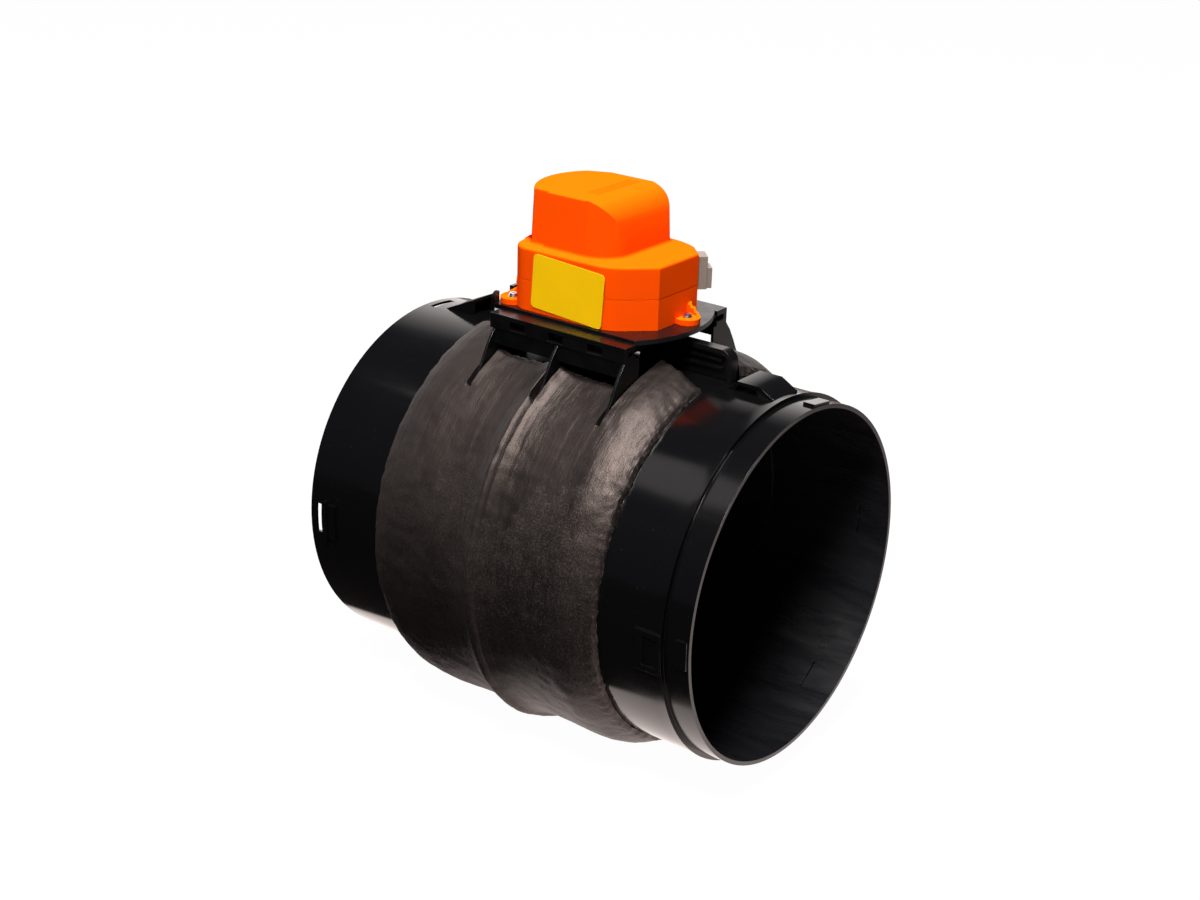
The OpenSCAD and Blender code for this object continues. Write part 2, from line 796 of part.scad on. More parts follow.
// Plan of the plate's upper pad
module pad_plan() {
    intersection() {
        translate([-plate_left, -pad_y]) square([2 * plate_left + plate_arc_r, 2 * pad_y]);
        union() {
            translate([plate_arc_x, 0]) circle(r = plate_arc_r, $fn = fine);
            translate([-plate_left, -pad_y]) square([plate_left, 2 * pad_y]);
        }
    }
}

module motor_plate() {
    color("#1c1a1c") mid() difference() {
        union() {
            translate([0, 0, plate_top - plate_t]) linear_extrude(plate_t) pad_plan();
            translate([-rail_half, -pad_y, flange_z])
                cube([2 * rail_half - over, 2 * pad_y, plate_top - plate_t - flange_z]);
            translate([-rail_half, -flange_y, flange_z])
                cube([2 * rail_half - over, 2 * flange_y, flange_t]);
            // Four upturned tabs at the left end, clear of the case's ear
            for (side = [0, 1])
                along_x(-plate_left, -plate_left + tab_t) mirror([side, 0]) {
                    polygon(concat([[-pad_y + tab_w, plate_top - plate_t],
                        [-pad_y + tab_w, plate_top + tab_h]],
                        arc_points(-pad_y + tab_r, plate_top + tab_h - tab_r, tab_r, 90, 180, 8),
                        [[-pad_y, plate_top - plate_t]]));
                    translate([lug_y, plate_top - plate_t]) square([lug_w, plate_t + tab_h]);
                }
        }
        translate([0, 0, flange_z - over]) cylinder(r = plate_hole_r, h = 4 * plate_t + 2 * over, $fn = 96);
        // Weight-saving pockets under the plate
        for (x = [-1, 1])
            translate([x * rail_half / 2 - rail_half * 0.32, -pad_y * 0.8, flange_z - over])
                cube([rail_half * 0.64, pad_y * 1.6, plate_top - plate_t - flange_z + over]);
        for (e = [right_ear, left_ear])
            translate([e.x, e.y, plate_top - 2 * plate_t])
                cylinder(r = ear_hole_r - free_gap / 2, h = 3 * plate_t, $fn = 32);
        case_posts_at() translate([0, 0, flange_z - over])
            cylinder(r = screw_head_r + free_gap, h = plate_top - flange_z + 2 * over, $fn = 32);
    }
}

// Plan of the case
module case_plan() {
    polygon(concat(
        arc_points(-case_left + left_round, -case_y + left_round, left_round, 180, 270, 10),
        [[front_x, -case_y]],
        [for (i = [1:5]) let (s = i / 6)
            [front_x + (chamfer_x - front_x) * s, -case_y + (case_y - chamfer_y) * s * s]],
        [[chamfer_x, -chamfer_y], [case_right, -flat_y], [case_right, back_flat_y],
            [back_chamfer_x, back_chamfer_y]],
        [for (i = [5:-1:1]) let (s = i / 6)
            [front_x + (back_chamfer_x - front_x) * s, case_y - (case_y - back_chamfer_y) * s * s]],
        [[front_x, case_y]],
        arc_points(-case_left + left_round, case_y - left_round, left_round, 90, 180, 10)));
}

module case_posts_at() {
    for (s = [-1, 1]) {
        translate([-post_left, s * post_y_left, 0]) children();
        translate([post_right, s * post_y_right, 0]) children();
    }
}

module bridge_posts_at() {
    for (x = [bridge_post_x_left, bridge_post_x_right], s = [-1, 1])
        translate([x, s * bridge_post_y, 0]) children();
}

module board_posts_at() {
    for (s = [-1, 1]) translate([board_post_x, s * board_post_y, 0]) children();
}

// Frame of the wiring socket: the middle of the case's back right face, with +X leading out
module at_socket() {
    translate([(case_right + back_chamfer_x) / 2, (back_flat_y + back_chamfer_y) / 2, 0])
        rotate([0, 0, socket_turn]) children();
}

module socket_notch(z0, z1) {
    at_socket() translate([-socket_in, -socket_w / 2 - small_gap, z0])
        cube([socket_in + over, socket_w + 2 * small_gap, z1 - z0]);
}

// Screw ear with a thin curved wall behind the screw, open towards the given angle
module screw_ear(z0, t, turn) {
    translate([0, 0, z0]) cylinder(r = ear_r, h = t, $fn = 48);
    intersection() {
        translate([0, 0, z0]) difference() {
            cylinder(r = ear_r, h = t + fin_h, $fn = 48);
            translate([0, 0, t]) cylinder(r = ear_r - fin_t, h = fin_h + over, $fn = 48);
        }
        rotate([0, 0, turn]) translate([0, ear_r, 0]) rotate([90, 0, 0]) linear_extrude(2 * ear_r)
            polygon([[ear_r * 0.1, z0], [-ear_r, z0], [-ear_r, z0 + t + fin_h], [ear_r * 0.1, z0 + t]]);
    }
}

module case_base() {
    color("#f2600c") mid() difference() {
        union() {
            difference() {
                translate([0, 0, base_z]) linear_extrude(base_h) case_plan();
                translate([0, 0, floor_z]) linear_extrude(base_h) offset(delta = -case_wall) case_plan();
            }
            translate([right_ear.x, right_ear.y, 0]) screw_ear(base_z, ear_t, -75);
            translate([left_ear.x, left_ear.y, 0]) screw_ear(base_z, ear_t, -60);
            translate([clip_ear.x, clip_ear.y, 0]) screw_ear(clip_z, ear_t / 2, -60);
            case_posts_at() translate([0, 0, base_z]) cylinder(r = post_r, h = base_h, $fn = 48);
            bridge_posts_at() translate([0, 0, base_z])
                cylinder(r = post_r, h = bridge_z - small_gap - base_z, $fn = 48);
            board_posts_at() translate([0, 0, base_z])
                cylinder(r = post_r, h = board_z - small_gap - base_z, $fn = 48);
            translate([idler_x, idler_y, base_z])
                cylinder(r = 2 * axle_r, h = case_wall + free_gap, $fn = 48);
        }
        // The ears stay out of the case's inside
        translate([0, 0, floor_z + over]) linear_extrude(base_h - over)
            difference() {
                offset(delta = -case_wall) case_plan();
                case_posts_at() circle(r = post_r + small_gap, $fn = 48);
                bridge_posts_at() circle(r = post_r + small_gap, $fn = 48);
                board_posts_at() circle(r = post_r + small_gap, $fn = 48);
            }
        translate([0, 0, base_z - over])
            cylinder(r = gear_hub_r + case_wall + small_gap, h = base_h, $fn = 96);
        for (e = [right_ear, left_ear])
            translate([e.x, e.y, base_z - over]) cylinder(r = ear_hole_r, h = ear_t + 2 * over, $fn = 32);
        case_posts_at() translate([0, 0, base_z - over])
            cylinder(r = screw_r + small_gap, h = base_h + 2 * over, $fn = 32);
        bridge_posts_at() translate([0, 0, board_z])
            cylinder(r = post_hole_r, h = bridge_z, $fn = 32);
        board_posts_at() translate([0, 0, floor_z])
            cylinder(r = post_hole_r, h = base_h, $fn = 32);
        translate([idler_x, idler_y, base_z + case_wall / 2])
            cylinder(r = axle_r + small_gap, h = base_h, $fn = 32);
        // Notch for the wiring socket
        socket_notch(socket_low - small_gap, part_z + over);
    }
}

// Plan of the dome at its foot
module dome_plan() {
    reach = asin((dome_front - dome_step) / dome_arc_r);
    back_reach = asin((dome_back - dome_back_corner) / dome_arc_r);
    polygon(concat(
        [[-dome_step_x, -dome_front], [dome_right - dome_corner, -dome_front]],
        arc_points(dome_right - dome_corner, -dome_front + dome_corner, dome_corner, -90, 0, 14),
        arc_points(dome_right - dome_back_corner, dome_back - dome_back_corner, dome_back_corner, 0, 90, 6),
        arc_points(-dome_step_x, dome_back - dome_step, dome_step, 90, 100, 1),
        arc_points(dome_arc_x, 0, dome_arc_r, 180 - back_reach, 180 + reach, 20),
        [[-dome_step_x, -dome_front + dome_step]]));
}

// Dome as a solid, drawn in by inset all round
module dome_solid(inset, z0) {
    top = dome_z - inset;
    right = dome_right - inset;
    centre = (dome_right - case_left) / 2;
    intersection() {
        translate([centre, 0, z0]) linear_extrude(dome_z - z0, scale = dome_draft_share)
            translate([-centre, 0]) offset(delta = -inset) dome_plan();
        along_y(-case_y, case_y) polygon(concat(
            [[-2 * case_left, z0], [-2 * case_left, top]],
            arc_points(roll_start, top - roll_r + inset / 2, roll_r - inset / 2, 90, 12, 14),
            [[right + roll_lean, shelf_z], [right + roll_lean, z0]]));
    }
}

module case_cover() {
    color("#f5690f") mid() {
        difference() {
            union() {
                translate([0, 0, part_z + small_gap]) linear_extrude(cover_h - small_gap) case_plan();
                dome_solid(0, shelf_z - small_gap);
            }
            translate([0, 0, part_z - over]) linear_extrude(cover_h + over - case_wall)
                difference() {
                    offset(delta = -case_wall) case_plan();
                    case_posts_at() circle(r = post_r, $fn = 48);
                }
            dome_solid(case_wall, part_z + cover_h / 2);
            case_posts_at() translate([0, 0, part_z - over])
                cylinder(r = post_hole_r, h = over + cover_h - 2 * case_wall, $fn = 32);
            socket_notch(part_z - over, socket_top + small_gap);
        }
        // Grip strip on the dome's top
        for (i = [0:floor(2.6 * grip_front / grip_pitch)])
            translate([roll_start - grip_len * 0.7, -grip_front + i * grip_pitch, dome_z - case_wall / 2])
                cube([grip_len * 0.7, grip_w, case_wall / 2 + grip_h]);
    }
}

module case_label() {
    color("#ffe000") mid() translate([label_x, -case_y - small_gap, label_z]) rotate([0, label_tilt, 0])
        rotate([90, 0, 0]) linear_extrude(label_t) {
            translate([-label_w / 2 + label_r, -label_h / 2]) square([label_w - 2 * label_r, label_h]);
            translate([-label_w / 2, -label_h / 2 + label_r]) square([label_w, label_h - 2 * label_r]);
            for (sx = [-1, 1], sy = [-1, 1])
                translate([sx * (label_w / 2 - label_r), sy * (label_h / 2 - label_r)])
                    circle(r = label_r, $fn = 32);
        }
}

// Pan-head screw along -Z with its seat at the origin
module pan_screw(len) {
    difference() {
        union() {
            cylinder(r1 = screw_head_r, r2 = screw_head_r * 0.75, h = screw_head_h, $fn = 48);
            translate([0, 0, -len]) cylinder(r = screw_r - small_gap, h = len + screw_head_h / 2, $fn = 32);
        }
        for (a = [0, 90])
            rotate([0, 0, a]) translate([-screw_head_r / 2, -screw_r / 5, screw_head_h / 2])
                cube([screw_head_r, screw_r / 2.5, screw_head_h]);
    }
}

module ear_screws() {
    color("#c9ccd0") mid() for (e = [right_ear, left_ear])
        translate([e.x, e.y, base_z + ear_t + small_gap]) pan_screw(ear_t + plate_t);
}

module case_screws() {
    color("#c9ccd0") mid() case_posts_at() translate([0, 0, base_z - small_gap]) mirror([0, 0, 1])
        difference() {
            pan_screw(0);
            translate([0, 0, -over]) cylinder(r = screw_r, h = over, $fn = 32);
        }
    color("#c9ccd0") mid() case_posts_at() translate([0, 0, base_z - small_gap])
        cylinder(r = post_hole_r - small_gap, h = base_h + cover_h / 2, $fn = 32);
}

module gear_bridge() {
    color("#b4b7ba") mid() difference() {
        translate([-bridge_left, -bridge_y, bridge_z])
            cube([bridge_left + bridge_right, 2 * bridge_y, bridge_t]);
        // Corners are cut to clear the case's posts
        case_posts_at() translate([0, 0, bridge_z - over])
            cylinder(r = 2 * post_r, h = 4 * bridge_t + over, $fn = 48);
        translate([-bridge_left - over, -bridge_y - over, bridge_z - over])
            cube([over + bridge_left * 0.18, over + bridge_y * 0.4, 3 * over]);
        translate([-bridge_left - over, bridge_y * 0.6, bridge_z - over])
            cube([over + bridge_left * 0.18, over + bridge_y * 0.4, 3 * over]);
        translate([pinion_x, pinion_y, bridge_z - over])
            cylinder(r = 2 * pinion_shaft_r, h = 3 * over, $fn = 48);
        translate([idler_x, idler_y, bridge_z - over])
            cylinder(r = axle_r + small_gap, h = 3 * over, $fn = 32);
        translate([0, 0, bridge_z - over]) cylinder(r = stub_r + run_gap, h = 3 * over, $fn = 48);
        bridge_posts_at() translate([0, 0, bridge_z - over]) cylinder(r = screw_r, h = 3 * over, $fn = 32);
        for (s = [-1, 1])
            translate([can_x, can_y + s * (can_r + ear_len / 2), bridge_z - over])
                cylinder(r = post_hole_r, h = 3 * over, $fn = 32);
    }
}

can_x = -13;
can_y = 0;

module bridge_screws() {
    color("#c9ccd0") mid() bridge_posts_at() translate([0, 0, bridge_z + bridge_t + small_gap]) {
        cylinder(r = screw_head_r * 0.8, h = screw_head_h, $fn = 32);
        translate([0, 0, -bridge_t * 4])
            cylinder(r = post_hole_r - small_gap, h = bridge_t * 4 + screw_head_h / 2, $fn = 32);
    }
}

module motor_can() {
    can_z = bridge_z + bridge_t + small_gap;
    color("#a7a9ab") mid() {
        difference() {
            union() {
                translate([can_x, can_y, can_z]) cylinder(r = can_r, h = can_h * 0.42, $fn = 96);
                translate([can_x, can_y, can_z + can_h * 0.4])
                    cylinder(r = can_r - bridge_t, h = can_h * 0.6, $fn = 96);
                // Flange ears on the front and back
                for (s = [-1, 1])
                    translate([can_x - ear_len / 2, s > 0 ? can_y + can_r - over : can_y - can_r - ear_len,
                        can_z]) cube([ear_len, ear_len + over, bridge_t / 2]);
            }
            for (s = [-1, 1])
                translate([can_x, can_y + s * (can_r + ear_len / 2), can_z - over])
                    cylinder(r = screw_r, h = 3 * over, $fn = 32);
            translate([pinion_x, pinion_y, can_z - over])
                cylinder(r = pinion_shaft_r + run_gap, h = over + can_h / 3, $fn = 32);
        }
    }
}

module motor_screws() {
    top = bridge_z + bridge_t + small_gap + bridge_t / 2 + small_gap;
    color("#c9ccd0") mid() for (s = [-1, 1])
        translate([can_x, can_y + s * (can_r + ear_len / 2), top]) {
            cylinder(r = screw_head_r * 0.8, h = screw_head_h / 2, $fn = 32);
            translate([0, 0, -2 * bridge_t])
                cylinder(r = post_hole_r - small_gap, h = 2 * bridge_t + small_gap, $fn = 32);
        }
}

// Involute gear outline, with a tooth centred on angle zero
function involute(rb, t) = [rb * (cos(t) + t * PI / 180 * sin(t)), rb * (sin(t) - t * PI / 180 * cos(t))];
function roll_angle(rb, r) = r <= rb ? 0 : sqrt(r * r / (rb * rb) - 1) * 180 / PI;
function tooth_flank(m, z, slack, add) = let (
        r = m * z / 2, rb = r * cos(press_angle), ra = r + add * m,
        rf = r - 1.2 * m,
        half = 90 / z - slack / r * 180 / PI,
        at_pitch = roll_angle(rb, r) - atan(roll_angle(rb, r) * PI / 180),
        start = roll_angle(rb, max(rb, rf)), stop = roll_angle(rb, ra))
    concat([[rf, 0, half + at_pitch]], [for (i = [0:4]) let (
        t = start + (stop - start) * i / 4, p = involute(rb, t))
        [norm(p), atan2(p.y, p.x), half + at_pitch]]);
function tooth_points(m, z, slack, add) = let (f = tooth_flank(m, z, slack, add), n = len(f))
    concat([for (i = [0:n - 1]) [f[i][0], f[i][1] - f[i][2]]],
        [for (i = [n - 1:-1:0]) [f[i][0], f[i][2] - f[i][1]]]);
module gear_plan(m, z, add) {
    pts = tooth_points(m, z, tooth_slack * m, add);
    polygon([for (k = [0:z - 1], q = pts) let (a = q[1] + 360 / z * k) [q[0] * cos(a), q[0] * sin(a)]]);
}

// A gap of the follower faces a tooth of the leader along the line of centres
idler_small_phase = idler_turn + 180 + 180 / idler_small_teeth;
output_phase = idler_turn;
idler_large_phase = pinion_turn;
pinion_phase = pinion_turn + 180 + 180 / pinion_teeth;

module motor_pinion() {
    color("#d9b45a") mid() translate([pinion_x, pinion_y, fast_z - free_gap]) rotate([0, 0, pinion_phase]) {
        linear_extrude(fast_w + 2 * free_gap) gear_plan(fast_m, pinion_teeth, 0.9);
        cylinder(r = pinion_shaft_r, h = bridge_z + bridge_t + can_h / 4 - fast_z, $fn = 32);
    }
}

module idler_axle() {
    color("#c9ccd0") mid() translate([idler_x, idler_y, base_z + case_wall / 2 + small_gap])
        cylinder(r = axle_r, h = bridge_z + bridge_t - base_z - case_wall / 2, $fn = 48);
}

module idler_gear() {
    color("#efece4") mid() translate([idler_x, idler_y, 0]) difference() {
        union() {
            translate([0, 0, gear_z]) rotate([0, 0, idler_small_phase])
                linear_extrude(slow_w + level_gap + small_gap) gear_plan(slow_m, idler_small_teeth, 0.9);
            translate([0, 0, fast_z]) rotate([0, 0, idler_large_phase])
                linear_extrude(fast_w) gear_plan(fast_m, idler_large_teeth, 0.85);
            translate([0, 0, fast_z]) cylinder(r = 2 * axle_r, h = bridge_z - free_gap - fast_z, $fn = 48);
        }
        translate([0, 0, gear_z - over]) cylinder(r = axle_r + run_gap, h = bridge_z, $fn = 48);
    }
}

module output_gear() {
    tongue_low = head_top - tongue_h + free_gap;
    hub_low = head_top + free_gap;
    color("#efece4") mid() {
        translate([0, 0, hub_low])
            cylinder(r = gear_hub_r, h = gear_z - hub_low + small_gap, $fn = 96);
        intersection() {
            translate([0, 0, tongue_low])
                cylinder(r = gear_hub_r, h = hub_low - tongue_low + small_gap, $fn = 96);
            translate([-gear_hub_r, -tongue_w / 2, tongue_low])
                cube([2 * gear_hub_r, tongue_w, 2 * tongue_h]);
        }
        translate([0, 0, gear_z]) rotate([0, 0, output_phase])
            linear_extrude(slow_w) gear_plan(slow_m, output_teeth, 0.9);
        translate([0, 0, gear_z]) cylinder(r = upper_hub_r, h = bridge_z - free_gap - gear_z, $fn = 96);
        translate([0, 0, bridge_z - over])
            cylinder(r = stub_r, h = over + bridge_t - free_gap / 2, $fn = 48);
        // Cam with one lobe, which faces the closed switch at rest
        translate([0, 0, cam_z]) cylinder(r = cam_r, h = cam_t, $fn = 96);
        translate([0, 0, cam_z]) rotate([0, 0, -45 - lobe_arc / 2])
            rotate_extrude(angle = lobe_arc, $fn = 96)
                translate([cam_r - over, 0]) square([lobe_r - cam_r + over, cam_t]);
    }
}

module output_bush() {
    flange_low = plate_top - plate_t * 1.2;
    color("#e8e6e0") mid() difference() {
        union() {
            translate([0, 0, flange_low])
                cylinder(r = gear_hub_r + case_wall, h = floor_z + small_gap - flange_low, $fn = 96);
            translate([0, 0, floor_z + small_gap])
                cylinder(r = gear_hub_r + 2 * case_wall, h = free_gap, $fn = 96);
        }
        translate([0, 0, flange_low - over]) cylinder(r = gear_hub_r + run_gap, h = base_h, $fn = 96);
    }
}

module circuit_board() {
    color("#2f6b3a") mid() difference() {
        translate([board_left, -board_y, board_z]) cube([board_right - board_left, 2 * board_y, board_t]);
        translate([0, 0, board_z - over]) cylinder(r = board_notch_r, h = board_t + 2 * over, $fn = 96);
        board_posts_at() translate([0, 0, board_z - over])
            cylinder(r = screw_r, h = board_t + 2 * over, $fn = 32);
        for (s = [-1, 1])
            translate([board_right, s * board_y, board_z - over])
                cylinder(r = board_corner_r, h = board_t + 2 * over, $fn = 48);
    }
}

module board_screws() {
    color("#c9ccd0") mid() board_posts_at() translate([0, 0, board_z + board_t + small_gap]) {
        cylinder(r = screw_head_r * 0.8, h = screw_head_h / 2, $fn = 32);
        translate([0, 0, -3 * board_t])
            cylinder(r = post_hole_r - small_gap, h = 3 * board_t + small_gap, $fn = 32);
    }
}

// Microswitch body whose plunger points at the shaft, drawn along +X
module switch_body() {
    z0 = board_z + board_t + small_gap;
    difference() {
        translate([switch_in, -switch_w / 2, z0]) cube([switch_d, switch_w, switch_h]);
        translate([switch_in - over, 0, z0 + switch_h / 2]) rotate([0, 90, 0])
            cylinder(r = plunger_r + run_gap, h = over + switch_d / 2, $fn = 32);
        for (s = [-1, 1])
            translate([switch_in + switch_d * 0.7, s * switch_w * 0.3, z0 - over])
                cylinder(r = screw_r / 2, h = switch_h + 2 * over, $fn = 24);
    }
}

module switch_plunger() {
    z0 = board_z + board_t + small_gap + switch_h / 2;
    translate([switch_in - plunger_out, 0, z0]) rotate([0, 90, 0])
        cylinder(r = plunger_r, h = plunger_out + switch_d / 2 - plunger_travel - free_gap, $fn = 32);
}

module closed_switch() {
    color("#2a2a30") mid() rotate([0, 0, -45]) switch_body();
}

module open_switch() {
    color("#2a2a30") mid() rotate([0, 0, 45]) switch_body();
}

module closed_plunger() {
    color("#d04028") mid() rotate([0, 0, -45]) switch_plunger();
}

module open_plunger() {
    color("#d04028") mid() rotate([0, 0, 45]) switch_plunger();
}

module wiring_socket() {
    color("#dcdcd4") mid() at_socket() difference() {
        union() {
            translate([-socket_in, -socket_w / 2, socket_low])
                cube([socket_in + socket_proud, socket_w, socket_top - socket_low]);
            translate([socket_proud - small_gap, -socket_w / 2 + socket_wall / 2, socket_nose])
                cube([socket_nose_len + small_gap, socket_w - socket_wall, socket_nose_h]);
        }
        translate([-socket_in + 2 * socket_wall, -socket_w / 2 + 1.5 * socket_wall,
            socket_nose + socket_wall])
            cube([2 * socket_in + socket_proud + socket_nose_len, socket_w - 3 * socket_wall,
                socket_nose_h - 2 * socket_wall]);
    }
}

module socket_pins() {
    pitch = socket_w / (pin_count + 1);
    z = (socket_nose + socket_step) / 2;
    color("#d9b45a") mid() at_socket() for (i = [1:pin_count])
        translate([-socket_in + 2 * socket_wall + small_gap, i * pitch - socket_w / 2 - pin_w / 2,
            z - pin_w / 2])
            cube([socket_in - socket_wall, pin_w, pin_w]);
}

inlet_collar();
middle_barrel();
outlet_collar();
front_rail();
rear_rail();
ribbed_box();
foam_wrap();
upper_bush();
lower_bush();
shaft_cap();
blade_shaft();
outlet_disc();
inlet_disc();
blade_seal();
blade_rivets();
motor_plate();
case_base();
case_cover();
case_label();
ear_screws();
case_screws();
gear_bridge();
bridge_screws();
motor_can();
motor_screws();
motor_pinion();
idler_axle();
idler_gear();
output_gear();
output_bush();
circuit_board();
board_screws();
closed_switch();
open_switch();
closed_plunger();
open_plunger();
wiring_socket();
socket_pins();
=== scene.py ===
"""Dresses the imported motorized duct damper: foam, rounded mouldings, finishes and a studio stage."""
import json
import math
from contextlib import contextmanager

import bmesh
import bpy
from bpy.props import FloatProperty, FloatVectorProperty, IntProperty, PointerProperty
from mathutils import Matrix, Vector, noise

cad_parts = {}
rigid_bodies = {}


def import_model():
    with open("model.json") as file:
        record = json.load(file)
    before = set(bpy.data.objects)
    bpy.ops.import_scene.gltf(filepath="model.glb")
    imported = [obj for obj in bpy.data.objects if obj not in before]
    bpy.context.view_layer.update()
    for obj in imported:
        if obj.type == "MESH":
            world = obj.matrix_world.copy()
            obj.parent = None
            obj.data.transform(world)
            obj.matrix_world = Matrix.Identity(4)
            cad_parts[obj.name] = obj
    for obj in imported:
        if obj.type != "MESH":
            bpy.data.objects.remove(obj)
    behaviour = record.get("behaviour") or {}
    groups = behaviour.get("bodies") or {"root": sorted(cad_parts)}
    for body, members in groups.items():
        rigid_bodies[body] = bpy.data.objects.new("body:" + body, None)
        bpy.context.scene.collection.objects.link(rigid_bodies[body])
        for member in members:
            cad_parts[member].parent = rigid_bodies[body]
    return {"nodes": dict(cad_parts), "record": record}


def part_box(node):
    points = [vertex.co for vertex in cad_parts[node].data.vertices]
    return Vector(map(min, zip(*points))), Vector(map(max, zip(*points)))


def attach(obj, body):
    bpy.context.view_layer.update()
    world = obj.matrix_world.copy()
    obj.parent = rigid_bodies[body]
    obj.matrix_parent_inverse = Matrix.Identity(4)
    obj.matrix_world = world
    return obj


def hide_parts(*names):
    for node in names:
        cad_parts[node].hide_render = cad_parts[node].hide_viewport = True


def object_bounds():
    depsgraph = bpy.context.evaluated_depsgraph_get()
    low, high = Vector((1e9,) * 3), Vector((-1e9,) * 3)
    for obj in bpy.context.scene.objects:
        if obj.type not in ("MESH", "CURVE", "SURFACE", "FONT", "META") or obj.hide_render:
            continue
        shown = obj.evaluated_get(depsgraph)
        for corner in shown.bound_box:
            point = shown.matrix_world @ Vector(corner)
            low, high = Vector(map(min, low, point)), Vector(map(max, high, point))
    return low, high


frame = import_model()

bl_info = {
    "name": "Duct damper dresser",
    "version": (1, 0, 0),
    "blender": (4, 5, 0),
    "location": "View3D > Sidebar > Damper",
    "description": "Rounded mouldings, a foam wrap and finishes for a motorized duct damper",
    "category": "Object",
}

MM = 0.001
CAD_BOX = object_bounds()
NODES = frame["nodes"]
# The shaft's place along the duct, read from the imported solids
SHAFT_X = sum(c.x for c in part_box("blade_shaft")) / 2
FOAM_LEFT, FOAM_RIGHT = (c.x - SHAFT_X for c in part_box("foam_wrap"))


class DamperFinish(bpy.types.PropertyGroup):
    """Colours and glosses of the damper's own finishes."""

    barrel: FloatVectorProperty(
        name="Barrel", description="Black of the moulded barrel", subtype="COLOR",
        default=(0.0022, 0.0021, 0.0023), min=0, max=1)
    barrel_gloss: FloatProperty(
        name="Barrel roughness", description="Roughness of the barrel's skin", subtype="FACTOR",
        default=0.13, min=0.05, max=0.9)
    rail: FloatVectorProperty(
        name="Rails", description="Black of the rails and the motor plate", subtype="COLOR",
        default=(0.0016, 0.0015, 0.0016), min=0, max=1)
    housing: FloatVectorProperty(
        name="Housing", description="Orange of the motor case", subtype="COLOR",
        default=(0.8, 0.064, 0.0008), min=0, max=1)
    label: FloatVectorProperty(
        name="Label", description="Yellow of the label film", subtype="COLOR",
        default=(0.8, 0.47, 0.002), min=0, max=1)
    foam_dark: FloatVectorProperty(
        name="Foam", description="Dark tone of the foam", subtype="COLOR",
        default=(0.0034, 0.0027, 0.0025), min=0, max=1)
    foam_pale: FloatVectorProperty(
        name="Foam wear", description="Pale tone of the rubbed foam", subtype="COLOR",
        default=(0.0145, 0.0115, 0.0107), min=0, max=1)
    socket: FloatVectorProperty(
        name="Socket", description="Pale plastic of the wiring socket", subtype="COLOR",
        default=(0.2, 0.165, 0.14), min=0, max=1)


class DamperFoam(bpy.types.PropertyGroup):
    """Sizes of the foam wrap."""

    lump: FloatProperty(
        name="Lumps", description="Height of the foam's uneven swells", unit="LENGTH",
        default=0.7 * MM, min=0, max=3 * MM)
    fray: FloatProperty(
        name="Cut edge", description="Raggedness of the foam's cut edges", unit="LENGTH",
        default=0.9 * MM, min=0, max=3 * MM)
    turns: IntProperty(
        name="Points round", description="Points of the foam's skin round the duct",
        default=560, min=120, max=900)
    rows: IntProperty(
        name="Points along", description="Points of the foam's skin along the duct",
        default=150, min=60, max=260)


class DamperStage(bpy.types.PropertyGroup):
    """Camera and lights."""

    lens: FloatProperty(
        name="Lens", description="Focal length on a 36 mm wide sensor, in millimetres",
        default=58.396, min=20, max=200)
    distance: FloatProperty(
        name="Distance", description="Camera's distance from the shaft", unit="LENGTH",
        default=1.08821, min=0.4, max=3)
    azimuth: FloatProperty(
        name="Azimuth", description="Camera's angle round the damper", subtype="ANGLE",
        default=math.radians(36.72))
    elevation: FloatProperty(
        name="Elevation", description="Camera's angle above the floor", subtype="ANGLE",
        default=math.radians(22.26))
    roll: FloatProperty(
        name="Roll", description="Camera's roll", subtype="ANGLE", default=math.radians(1.71))
    key: FloatProperty(
        name="Key light", description="Radiance of the high key light", default=58, min=0, max=900)
    side_key: FloatProperty(
        name="Front light", description="Radiance of the light above the camera", default=112, min=0, max=900)
    brow: FloatProperty(
        name="Brow light", description="Radiance of the weak light high in front on the left",
        default=0.9, min=0, max=20)
    back_glow: FloatProperty(
        name="Back wall", description="Brightness of the wall behind on the left", default=1.9, min=0, max=8)
    floor_white: FloatProperty(
        name="Floor white", description="Brightness of the paper as the camera sees it", default=0.98,
        min=0, max=2)
    floor_glow: FloatProperty(
        name="Floor glow", description="Light that the paper under the damper throws up", default=1.45,
        min=0, max=4)
    floor_front: FloatProperty(
        name="Floor front", description="Light that comes up from in front of the paper", default=0.02,
        min=0, max=2)


# Materials


